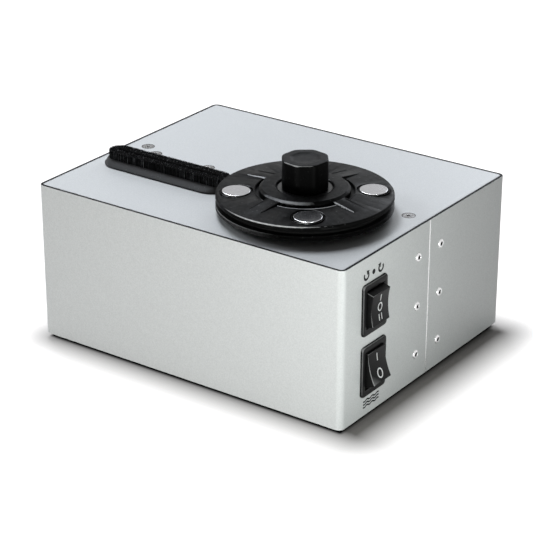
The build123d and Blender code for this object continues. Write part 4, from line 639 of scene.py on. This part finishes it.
# %% [markdown]
# ## Polished discs
# Four steel discs sit in shallow dishes of the clamp and add weight to it. Each is turned and
# polished, with a soft round edge and a face that is very slightly domed, so that it mirrors more
# than one spot of the room. All four come from one lathe profile at four spots.

# %% Discs
low, high = box_mm("clamp_weights")
DISC_RADIUS, DISC_CIRCLE, CLAMP_TURN = 8.45, 40.9, 37.0
disc_angle = radians(CLAMP_TURN) + np.arange(4) * pi / 2
disc_way = joined(np.cos(disc_angle), np.sin(disc_angle), 0)
reach = np.linspace(0, 1, 9)
crown = joined((DISC_RADIUS - 0.5) * (1 - reach), high[2] - 0.12 * (1 - reach) ** 2)
edge = soften([(0, low[2]), (DISC_RADIUS, low[2]), (DISC_RADIUS, high[2] - 0.12),
               (DISC_RADIUS - 0.5, high[2] - 0.12)], 0.3)
discs = turned_piece("polished_discs", np.concatenate([edge, crown[1:]]),
                     spindle + DISC_CIRCLE * disc_way, "clamp", "polished_steel", steps=72)
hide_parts("clamp_weights")
print("discs stand", round(high[2] - box_mm("clamp_disc")[1][2], 2), "mm over the hub ring")

# %% [markdown]
# ## Knob
# The knob is a moulded block with eight hollow faces, so that wet fingers can grip it. Each face
# is a shallow arc of a big circle. The outline repeats it eight times, and the corners are
# rounded by averaging every point with its neighbours. Rows of that outline are stacked up, drawn
# in a little at the rim, and run down into a faintly dished top.


# %% Knob outline
def hollow_outline(corner_radius, hollow, sides, first_angle, per_side=28, rounding=90):
    """Side arc x = h + R(1 - cos a), y = R sin a, turned to each side, then locally averaged."""
    half = pi / sides
    chord, middle = corner_radius * np.sin(half), corner_radius * np.cos(half) - hollow
    big = (chord**2 + hollow**2) / (2 * hollow)
    swing = np.linspace(-asin(chord / big), asin(chord / big), per_side, endpoint=False)
    x, y = middle + big * (1 - np.cos(swing)), big * np.sin(swing)
    turn = first_angle + half + 2 * half * np.arange(sides)[:, None]
    outline = joined(x * np.cos(turn) - y * np.sin(turn),
                     x * np.sin(turn) + y * np.cos(turn)).reshape(-1, 2)
    for _ in range(rounding):
        outline = (np.roll(outline, 1, axis=0) + 2 * outline + np.roll(outline, -1, axis=0)) / 4
    return outline


def outward(outline):
    """Unit normals of a closed outline that runs anticlockwise."""
    along = np.roll(outline, -1, axis=0) - np.roll(outline, 1, axis=0)
    normal = joined(along[:, 1], -along[:, 0])
    return normal / np.linalg.norm(normal, axis=1, keepdims=True)


outline = hollow_outline(15.75, 0.95, 8, radians(CLAMP_TURN + 22.5))
print("knob outline reaches from", np.linalg.norm(outline, axis=1).min().round(2), "to",
      np.linalg.norm(outline, axis=1).max().round(2), "mm")

# %% Knob
low, high = box_mm("clamp_knob")
normal = outward(outline)
side_rows = np.array([(0.45, 0.0), (0.15, 0.12), (0.0, 0.45), (0.0, 6.0), (0.0, 12.0), (0.0, 17.6),
                      (0.03, 17.95), (0.14, 18.28), (0.34, 18.5), (0.62, 18.6)])
side = outline[None] - side_rows[:, 0, None, None] * normal[None]
share = np.array([0.9, 0.75, 0.64, 0.61, 0.35, 0.15, 0.0])[:, None, None]
top = side[-1][None] * share
step_down = 0.25 * (share < 0.62)
round_way = outline / np.linalg.norm(outline, axis=1, keepdims=True)
bore = round_way[None] * np.array([0, 5.5, 5.5])[:, None, None]
rows = np.concatenate([lifted(bore, low[2] + np.array([15.8, 15.8, 0.0])),
                       lifted(side, low[2] + side_rows[:, 1]),
                       lifted(top, high[2] - 0.10 * (1 - share**2) - step_down)])
knob = grid_piece("grip_knob", rows + spindle, "knob", "knob_black", crease=50)
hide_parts("clamp_knob")
print("knob height", round(high[2] - low[2], 1), "mm")

# %% [markdown]
# ## Nozzle foot
# The foot under the brush is a long moulded strip with round ends. Its side slopes in towards the
# bristles. Every level of it is the same kind of outline, a slot with straight sides and half
# circles at its ends, so the surface is a stack of such outlines: length, width and height change
# from row to row, and the corners between rows are softened.


# %% Slot-shaped outlines
def slot_outline(length, width, per_end=24, per_side=30):
    """Two half circles of the width's radius joined by straight sides, anticlockwise."""
    half, reach = width / 2, (length - width) / 2
    a = np.linspace(-pi / 2, pi / 2, per_end)
    run = np.linspace(1, -1, per_side)[1:-1]
    right = joined(reach + half * np.cos(a), half * np.sin(a))
    upper = joined(reach * run, half)
    return np.concatenate([right, upper, -right, -upper])


def slot_stack(rows, centre):
    """A closed surface of slot outlines; a row is (length, width, height)."""
    return lifted(np.stack([slot_outline(*row[:2]) for row in rows]), rows[:, 2]) + centre


print("a slot outline has", len(slot_outline(20, 5)), "points")

# %% Nozzle foot
low, high = box_mm("nozzle_base")
middle = np.array([(low[0] + high[0]) / 2, (low[1] + high[1]) / 2, 0.0])
long_side, wide = high[0] - low[0], high[1] - low[1]
inset = np.array([(12.0, 12.0, 0.0), (0.0, 0.0, 0.0), (0.0, 0.0, 0.9), (1.3, 5.8, 3.4),
                  (1.8, 6.3, 3.4), (1.8, 6.3, 2.4), (12.0, 12.0, 2.4)])
inset = soften(inset, 0.22)
rows = np.array([long_side, wide, low[2]]) + inset * np.array([-2, -2, 1])
points = slot_stack(rows, middle)
foot = grid_piece("nozzle_foot", points, "case", "nozzle_grey", wrap_rows=True)
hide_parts("nozzle_base")
print("nozzle foot", round(long_side, 1), "by", round(wide, 1), "mm")

# %% [markdown]
# ## Brush
# The brush is a dense wall of thin bristles round a long suction slot. A solid core fills its
# inside, a little lower than the tips, so that no light shows through. Over it stand thousands of
# hairs in lengthwise rows. One hair is only a three-sided tapered tube of six faces. numpy places,
# leans and shortens them all at once, and a fixed seed gives the same brush on every run.

# %% Brush core
low, high = box_mm("bristle_strip")
brush_long, brush_wide, tip_z = high[0] - low[0], high[1] - low[1], high[2]
wall = 5.9
inset, height = np.array([(0.35, low[2]), (0.35, tip_z - 1.5), (0.9, tip_z - 0.9),
                          (wall - 0.5, tip_z - 0.8), (wall, tip_z - 1.4), (wall, low[2])]).T
rows = joined(brush_long - 2 * inset, brush_wide - 2 * inset, height)
points = slot_stack(rows, middle)
core = grid_piece("brush_core", points, "case", "bristle", wrap_rows=True,
                  pale=np.zeros(points.shape[:2]))
print("brush core up to", round(tip_z - 0.8, 2), "mm")


# %% Hair places
def slot_distance(x, y, length, width):
    """Distance from the edge of a slot shape, negative inside: to the middle line, less radius."""
    over = np.maximum(np.abs(x) - (length - width) / 2, 0)
    return np.hypot(over, y) - width / 2


EDGE_HAIRS, STRAY_SHARE, PALE_SHARE = 1500, 0.008, 0.07
rng = np.random.default_rng(7)
x, y = np.meshgrid(np.arange(-brush_long / 2, brush_long / 2, 0.30), np.arange(-7.0, 7.01, 0.62))
x = x.ravel() + rng.uniform(-0.14, 0.14, x.size)
y = y.ravel() + rng.normal(0, 0.10, y.size)
outer = slot_distance(x, y, brush_long, brush_wide)
inner = slot_distance(x, y, brush_long - 2 * wall, brush_wide - 2 * wall)
keep = (outer < -0.2) & (inner > 0.25)
x, y, outer = x[keep], y[keep], outer[keep]
edge_line = slot_outline(brush_long - 0.5, brush_wide - 0.5, 120, 400)
pick = rng.integers(0, len(edge_line), EDGE_HAIRS)
x = np.concatenate([x, edge_line[pick, 0]])
y = np.concatenate([y, edge_line[pick, 1]])
outer = np.concatenate([outer, np.full(EDGE_HAIRS, -0.25)])
print("hairs:", x.size)

# %% Hairs
tuft = np.sin(x * 2.1 + 3 * np.sin(y * 0.9)) * np.sin(x * 0.63 + 1.3)
lean_x = rng.normal(0, 0.16, x.size) + 0.10 * tuft
lean_y = rng.normal(0, 0.10, x.size)
stray = rng.uniform(size=x.size) < STRAY_SHARE
lean_x = np.where(stray, rng.normal(0, 1.0, x.size), lean_x)
tips = tip_z - 0.05 - 0.9 * np.clip(1 + outer / 1.1, 0, 1) ** 2 - rng.uniform(0, 0.30, x.size) \
    - 0.10 * (1 + tuft)
tips = np.where(stray, tip_z - 0.02, tips)
root = np.where(outer < -1.2, tip_z - 1.6, low[2] + 0.2)
level = np.array([0.0, 0.55, 1.0])[None, :, None]
z = root[:, None, None] + (tips - root)[:, None, None] * level
side = 2 * pi * np.arange(3) / 3 + rng.uniform(0, 2 * pi, x.size)[:, None]
thick = np.array([0.17, 0.15, 0.05])[None, :, None] * rng.uniform(0.8, 1.2, x.size)[:, None, None]
hx = x[:, None, None] + lean_x[:, None, None] * level**2 + thick * np.cos(side)[:, None, :]
hy = y[:, None, None] + lean_y[:, None, None] * level**2 + thick * np.sin(side)[:, None, :]
hy = np.clip(hy, -brush_wide / 2 + 0.02, brush_wide / 2 - 0.02)
hx = np.clip(hx, -brush_long / 2 + 0.02, brush_long / 2 - 0.02)
hairs = joined(hx, hy, z) + middle
# A few hairs are made pale, partly dust and partly painted highlight, and paler towards the tip as
# a painted highlight on the ends.
pale = np.clip(rng.gamma(0.35, 0.05, x.size) + rng.uniform(0.2, 1.0, x.size)
               * (rng.uniform(size=x.size) < PALE_SHARE), 0, 1.0)
pale = pale[:, None, None] * np.array([0.5, 1.0, 1.2])[None, :, None] * np.ones((1, 1, 3))
brush = grid_piece("brush_hairs", hairs, "case", "bristle", crease=180, weld=0, pale=pale)
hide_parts("bristle_strip")
print("hair faces:", len(brush.data.polygons))

# %% [markdown]
# ## Rocker switches
# A rocker switch is two mouldings: a housing with a wide bezel, and a rocker on a pin. The bezel
# is a stack of rounded rectangles, with a sloped outer edge and a deep mouth. The rocker is one
# side view, hollow like a saddle, swept across its width and rounded at both cheeks. The motor's
# rocker has three places and stands level. The vacuum's rocker is pressed at its top.


# %% Rounded rectangles
def rounded_rectangle(width, height, radius, per_corner=7):
    """Quarter circles round the four corners, anticlockwise, with matching point order."""
    a = np.linspace(0, pi / 2, per_corner)
    quarter = np.arange(4)[:, None] * pi / 2 + a
    sign = np.array([(1, 1), (-1, 1), (-1, -1), (1, -1)])
    heart = sign * np.array([width / 2 - radius, height / 2 - radius])
    corner = joined(np.cos(quarter), np.sin(quarter)) * radius + heart[:, None, :]
    return corner.reshape(-1, 2)


SWITCH_Y, MOTOR_Z, VACUUM_Z, WALL_X = -58.7, 72.1, 32.7, 113.0
# A row is distance from the wall, width, height and corner radius.
rows = np.array([
    (-24.0, 0.02, 0.02, 0.01), (-24.0, 22.6, 27.4, 0.5), (0.0, 22.6, 27.4, 0.5),
    (0.0, 25.6, 32.6, 2.5), (0.85, 25.6, 32.6, 2.5), (1.0, 25.5, 32.5, 2.45),
    (1.4, 24.9, 31.9, 2.2), (1.5, 24.6, 31.6, 2.1), (1.5, 19.3, 25.1, 0.9),
    (1.4, 18.8, 24.6, 0.7), (1.15, 18.6, 24.4, 0.6), (-13.5, 18.6, 24.4, 0.6),
    (-13.5, 0.02, 0.02, 0.01)])
flat = lifted(np.stack([rounded_rectangle(*row[1:]) for row in rows]), rows[:, 0])
for name, z in (("motor", MOTOR_Z), ("vacuum", VACUUM_Z)):
    points = np.roll(flat, 1, axis=2) + np.array([WALL_X, SWITCH_Y, z])
    housing = grid_piece(name + "_bezel", points, "case", "switch_black")
    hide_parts(name + "_switch_housing")
print("bezels stand", rows[:, 0].max(), "mm out of the wall")

# %% Rocker shape
PIVOT_X, LIP, DIP, LIP_HALF, LEVEL_HALF = 109.5, 9.1, 7.9, 9.9, 11.0
HALF_WIDE, CHEEK, PRESSED = 9.0, 0.4, -14.0
SADDLE = (LIP_HALF**2 + (LIP - DIP) ** 2) / (2 * (LIP - DIP))


def saddle_depth(up):
    """Distance of the hollow front from the pivot: dip + R - sqrt(R^2 - up^2)."""
    return DIP + SADDLE - np.sqrt(SADDLE**2 - np.asarray(up) ** 2)


def on_rocker(out, across, up, z, tilt):
    """Points of a rocker turned by tilt degrees about its pin, as x, y, z in millimetres."""
    t = radians(tilt)
    x = PIVOT_X + out * np.cos(t) + up * np.sin(t)
    z = z - out * np.sin(t) + up * np.cos(t)
    return joined(x, SWITCH_Y + across, z)


def rocker_points(z, tilt):
    """The side view drawn in at both cheeks by a quarter circle, swept across the width."""
    up = np.linspace(-LIP_HALF, LIP_HALF, 40)[1:-1]
    front = joined(saddle_depth(up), up)
    back = [(LIP, LIP_HALF), (5.0, LEVEL_HALF), (0, LEVEL_HALF), (-7.5, 6.5), (-7.5, -6.5),
            (0, -LEVEL_HALF), (5.0, -LEVEL_HALF), (LIP, -LIP_HALF)]
    view = soften(np.concatenate([front, back]), 0.42, closed=True)
    normal = outward(view)
    a = np.linspace(0, pi / 2, 5)
    draw = CHEEK * np.concatenate([[8.0], 1 - np.sin(a), 1 - np.sin(a[::-1]), [8.0]])
    cheek = HALF_WIDE - CHEEK * (1 - np.cos(a))
    across = np.concatenate([[-HALF_WIDE], -cheek, cheek[::-1], [HALF_WIDE]])
    flat = view[None] - draw[:, None, None] * normal[None]
    flat[0], flat[-1] = view * 0.02 + (3.0, 0.0), view * 0.02 + (3.0, 0.0)
    return on_rocker(flat[..., 0], across[:, None], flat[..., 1], z, tilt)


pin_profile = soften([(0, -10.3), (1.5, -10.3), (1.5, 10.3), (0, 10.3)], 0.2)
for name, z, tilt in (("motor", MOTOR_Z, 0.0), ("vacuum", VACUUM_Z, PRESSED)):
    body = name + "_rocker"
    rocker = grid_piece(body + "_moulded", rocker_points(z, tilt), body, "rocker_black")
    turned_piece(name + "_pin", pin_profile, [(PIVOT_X, SWITCH_Y, z)], body, "rocker_black",
                 beside=(0, 0, 1), along=(0, 1, 0), steps=24)
    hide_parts(body)
print("rocker front dips", round(LIP - DIP, 1), "mm")

# %% [markdown]
# ## Marks
# The marks on the rockers are the plain international ones: a bar for on, a ring for off, two bars
# for a second speed or direction. Each is a thin print that follows the hollow front. On the wall
# two arrows that go round say what the upper switch does, and three waves of air what the lower
# one does. A mark is a strip: a line through the plane with a width, laid on its surface.


# %% Strips
def strip(line, width, closed=False):
    """Points either side of a line by half its width, along the line's own normals."""
    line = np.asarray(line, float)
    along = np.roll(line, -1, axis=0) - np.roll(line, 1, axis=0)
    if not closed:
        along[0], along[-1] = line[1] - line[0], line[-1] - line[-2]
    normal = joined(along[:, 1], -along[:, 0])
    normal = normal / np.linalg.norm(along, axis=1, keepdims=True)
    half = np.broadcast_to(np.asarray(width, float) / 2, (len(line),))[:, None]
    return np.stack([line + half * normal, line - half * normal])


def mark(name, parts, lay, body, finish_name):
    """One thin print from several strips; lay puts flat (across, up) points on a surface."""
    points, faces, start = [], [], 0
    for flat, closed in parts:
        steps = flat.shape[1]
        placed = lay(flat[..., 0], flat[..., 1])
        points.append(placed.reshape(-1, 3))
        faces.append(grid_faces(2, steps, wrap_columns=closed) + start)
        start += placed.size // 3
    return make_piece(name, np.concatenate(points), np.concatenate(faces), body, finish_name,
                      slot=None, weld=0)


def bar(across, up, tall, width):
    """An upright line of ten points as a strip."""
    return strip(joined(across, up + np.linspace(-tall / 2, tall / 2, 10)), width), False


def loop(across, up, wide, tall, width, steps=48):
    """An ellipse line as a closed strip."""
    a = np.linspace(0, 2 * pi, steps, endpoint=False)
    line = joined(across + wide / 2 * np.cos(a), up + tall / 2 * np.sin(a))
    return strip(line, width, True), True


def rocker_lay(z, tilt):
    """Lays a flat mark on the hollow front of a rocker, three hundredths of a millimetre proud."""
    return lambda across, up: on_rocker(saddle_depth(up) + 0.03, across, up, z, tilt)


mark("motor_marks", [bar(0.0, 6.2, 4.0, 0.7), loop(0.0, 0.3, 4.0, 4.8, 0.75),
                     bar(-1.3, -6.0, 4.0, 0.7), bar(1.3, -6.0, 4.0, 0.7)],
     rocker_lay(MOTOR_Z, 0.0), "motor_rocker", "mark_white")
mark("vacuum_marks", [bar(0.0, 5.4, 4.8, 0.75), loop(0.0, -4.8, 4.6, 5.4, 0.8)],
     rocker_lay(VACUUM_Z, PRESSED), "vacuum_rocker", "mark_white")

# %% Wall prints
def wall_lay(y, z):
    """Lays a flat mark on the right wall, a fiftieth of a millimetre proud."""
    return lambda across, up: joined(WALL_X + 0.02, y + across, z + up)


def round_arrow(across, start, end, radius=2.3):
    """An arc strip and an arrow head at its end; clockwise if the end angle is the smaller."""
    a = np.linspace(radians(start), radians(end), 60)
    arc = joined(across + radius * np.cos(a), radius * np.sin(a))
    way = np.sign(end - start) * np.array([-np.sin(a[-1]), np.cos(a[-1])])
    head = [arc[-1] - 0.4 * way, arc[-1] + 2.2 * way]
    return [(strip(arc, 1.4), False), (strip(head, [3.6, 0.05]), False)]


PRINT_Y, TURN_Z, AIR_Z = SWITCH_Y - 0.6, 93.5, 10.9
mark("turn_print", round_arrow(-7.6, -215, 45) + [loop(0, 0, 1.6, 1.6, 1.6)]
     + round_arrow(7.6, 395, 135), wall_lay(PRINT_Y, TURN_Z), "case", "mark_black")
wave_x = np.linspace(-8.4, 8.4, 90)
waves = [(strip(joined(wave_x, up + 0.45 * np.sin(wave_x * 2 * pi / 5.6)), 1.0), False)
         for up in (-1.9, 0.0, 1.9)]
mark("air_print", waves, wall_lay(PRINT_Y, AIR_Z), "case", "mark_black")

# %% [markdown]
# ## Seam
# Where the two ends of the wrapped panel meet, the outer skin is folded over the edge. The fold
# is bare metal and shows as one thin bright line from top to bottom: half an ellipse as the
# profile, carried straight up the wall.

# %% Seam lip
a = np.linspace(0, pi, 9)
lip = joined(WALL_X + 0.10 * np.sin(a), 2.0 - 0.45 * np.cos(a))
points = lifted(np.tile(lip, (12, 1, 1)), np.linspace(3.6, 104.4, 12))
grid_piece("seam_lip", points, "case", "rivet_alloy", wrap_columns=False)

# %% [markdown]
# ## Dark line round the top
# The core of the wall panels is black and shows all round the top plate. It is a flat ring
# between two rounded rectangles, a hair above the cut edge of the panels.

# %% Rim line
LINE_Z = 104.52
edges = np.stack([rounded_rectangle(225.9, 181.9, 3.95, 12),
                  rounded_rectangle(222.4, 178.4, 2.2, 12)])
grid_piece("rim_line", lifted(edges, LINE_Z), "case", "panel_core", weld=0)

# %% [markdown]
# ## Screw rims
# Round each flat screw head a narrow gap stays open to its countersink. A flat black ring laid on
# the plate round each head is painted shade for that gap.

# %% Screw rims
spots = [(x, y, LINE_Z) for x, y in ((99.0, 0.0), (-99.0, 0.0), (-87.0, -7.4), (-44.8, -7.4))]
# A flat black ring on the plate: painted shade for the gap round each screw head.
grid_piece("screw_gap_painted_shade", turned([(3.75, 0.0), (4.25, 0.0)], spots, steps=48), "case",
           "panel_core", weld=0)

# %% [markdown]
# ## Ramp edges
# Each of the clamp's four ramps falls from the hub ring to the face, and both of its long edges
# are rounded off. A quarter-round bead follows such an edge: an arc round a point inside the
# corner, carried down the slope while it gets thinner towards the outer end. Its finish paints a
# bright highlight on the part of each bead that faces front and up.

# %% Ramp edges
low, high = box_mm("clamp_disc")
heart = (low + high) / 2
ramp_turns = np.radians([82.0, 172.0, 262.0, 352.0])


def round_spindle(along, across, height, turn):
    """Points with these distances along and across a direction that is turned about the spindle."""
    x = heart[0] + along * np.cos(turn) - across * np.sin(turn)
    y = heart[1] + along * np.sin(turn) + across * np.cos(turn)
    return joined(x, y, height)


reach = np.linspace(28.0, 43.0, 10)
slope_top = np.interp(reach, [27.4, 43.3], [119.7, 117.61])[:, None]
thickness = np.interp(reach, [28.0, 43.0], [0.90, 0.45])[:, None]
bend = np.radians(np.linspace(-35, 110, 9))
hand = np.array([-1.0, 1.0])[:, None, None]
inset = 0.65 * thickness
points = round_spindle(reach[:, None], hand * (4.85 - inset + thickness * np.cos(bend)),
                       slope_top - inset + thickness * np.sin(bend),
                       ramp_turns[:, None, None, None])
# Its finish paints a bright highlight on the part of each bead that faces front and up.
grid_piece("ramp_edges", points, "clamp", "ramp_edge_highlight", wrap_columns=False, slot="clamp_black",
           crease=80.0)

# %% [markdown]
# ## Groove lip
# Between the ramps the groove round the hub ring has a low rounded lip on its outer side. It is
# an arc of a circle carried round the spindle, in four lengths with a ramp between each two. Its
# finish paints a bright highlight on the part that faces front, right and up.

# %% Groove lip
turns = ramp_turns[:, None, None] + np.radians(np.linspace(10.5, 79.5, 36))[:, None]
bend = np.radians(np.linspace(-15, 112, 9))
points = round_spindle(30.3 + 0.38 * np.cos(bend), 0.0, 118.36 + 0.38 * np.sin(bend), turns)
# Its finish paints a bright highlight on the part that faces front, right and up.
grid_piece("groove_lip", points, "clamp", "lip_edge_highlight", wrap_columns=False, slot="clamp_black",
           crease=80.0)

# %% [markdown]
# ## Rivets
# Six blind rivets hold the seam. A blind rivet has a low dome with a hole in it, and the broken
# end of its pull-rod sits at the bottom of that hole, painted black as the shade in the hole. The
# profile runs from the swollen tail inside, along the shank, round the dome and down into the hole.

# %% Rivets
OUT_OF_WALL = {"across": (0, 1, 0), "beside": (0, 0, 1), "along": (1, 0, 0)}
low, high = box_mm("seam_rivets")
side_y, rows_z = (low[1] + 2.8, high[1] - 2.8), 52.8 + 32.0 * np.arange(-1, 2)
rivet_spots = np.array([(WALL_X, y, z) for y in side_y for z in rows_z])
shank = soften([(0, -6.0), (2.2, -6.0), (2.2, -3.5), (1.6, -3.5), (1.6, 0.0), (2.8, 0.0)], 0.15)
a = np.linspace(0, 1, 12)
dome = joined(2.8 - 1.2 * a**1.6, 0.12 + 0.78 * np.sin(a * pi / 2))
hole = soften([(1.55, 0.9), (1.4, 0.8), (1.3, 0.1), (0, 0.1)], 0.08)
rivets = turned_piece("rivets", np.concatenate([shank, dome, hole]), rivet_spots, "case",
                      "rivet_alloy", steps=40, **OUT_OF_WALL)
# The rod ends take the black core finish: painted shade at the bottom of each hole.
turned_piece("rivet_rods_painted_shade", soften([(1.28, 0.12), (1.25, 0.5), (0, 0.58)], 0.1), rivet_spots,
             "case", "panel_core", steps=20, **OUT_OF_WALL)
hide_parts("seam_rivets")
print("rivets:", len(rivet_spots))

# %% [markdown]
# ## Drain cap
# The cap on the drain is pulled off by hand, so its side is ribbed. The radius of each row swings
# with the angle: a cosine with twenty waves, faded out towards both ends.

# %% Drain cap
low, high = box_mm("drain_cap")
cap_spot = np.array([low[0], (low[1] + high[1]) / 2, (low[2] + high[2]) / 2])
profile = soften([(0, 0), (6.0, 0), (6.0, 10.45), (4.05, 10.45), (4.05, 1.5), (0, 1.5)], 0.6)
fade = np.clip((profile[:, 1] - 0.6) / 1.0, 0, 1) * (profile[:, 0] > 5.5) * (profile[:, 1] < 9.8)
angle = np.linspace(0, 2 * pi, 240, endpoint=False)
radius = profile[:, 0, None] - 0.22 * fade[:, None] * (0.5 - 0.5 * np.cos(20 * angle))
cap = joined(profile[:, 1, None], radius * np.cos(angle), radius * np.sin(angle)) + cap_spot
cap_piece = grid_piece("drain_cap_ribbed", cap, "drain_cap", "drain_plastic")
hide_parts("drain_cap")
print("cap radius", radius.max(), "mm")
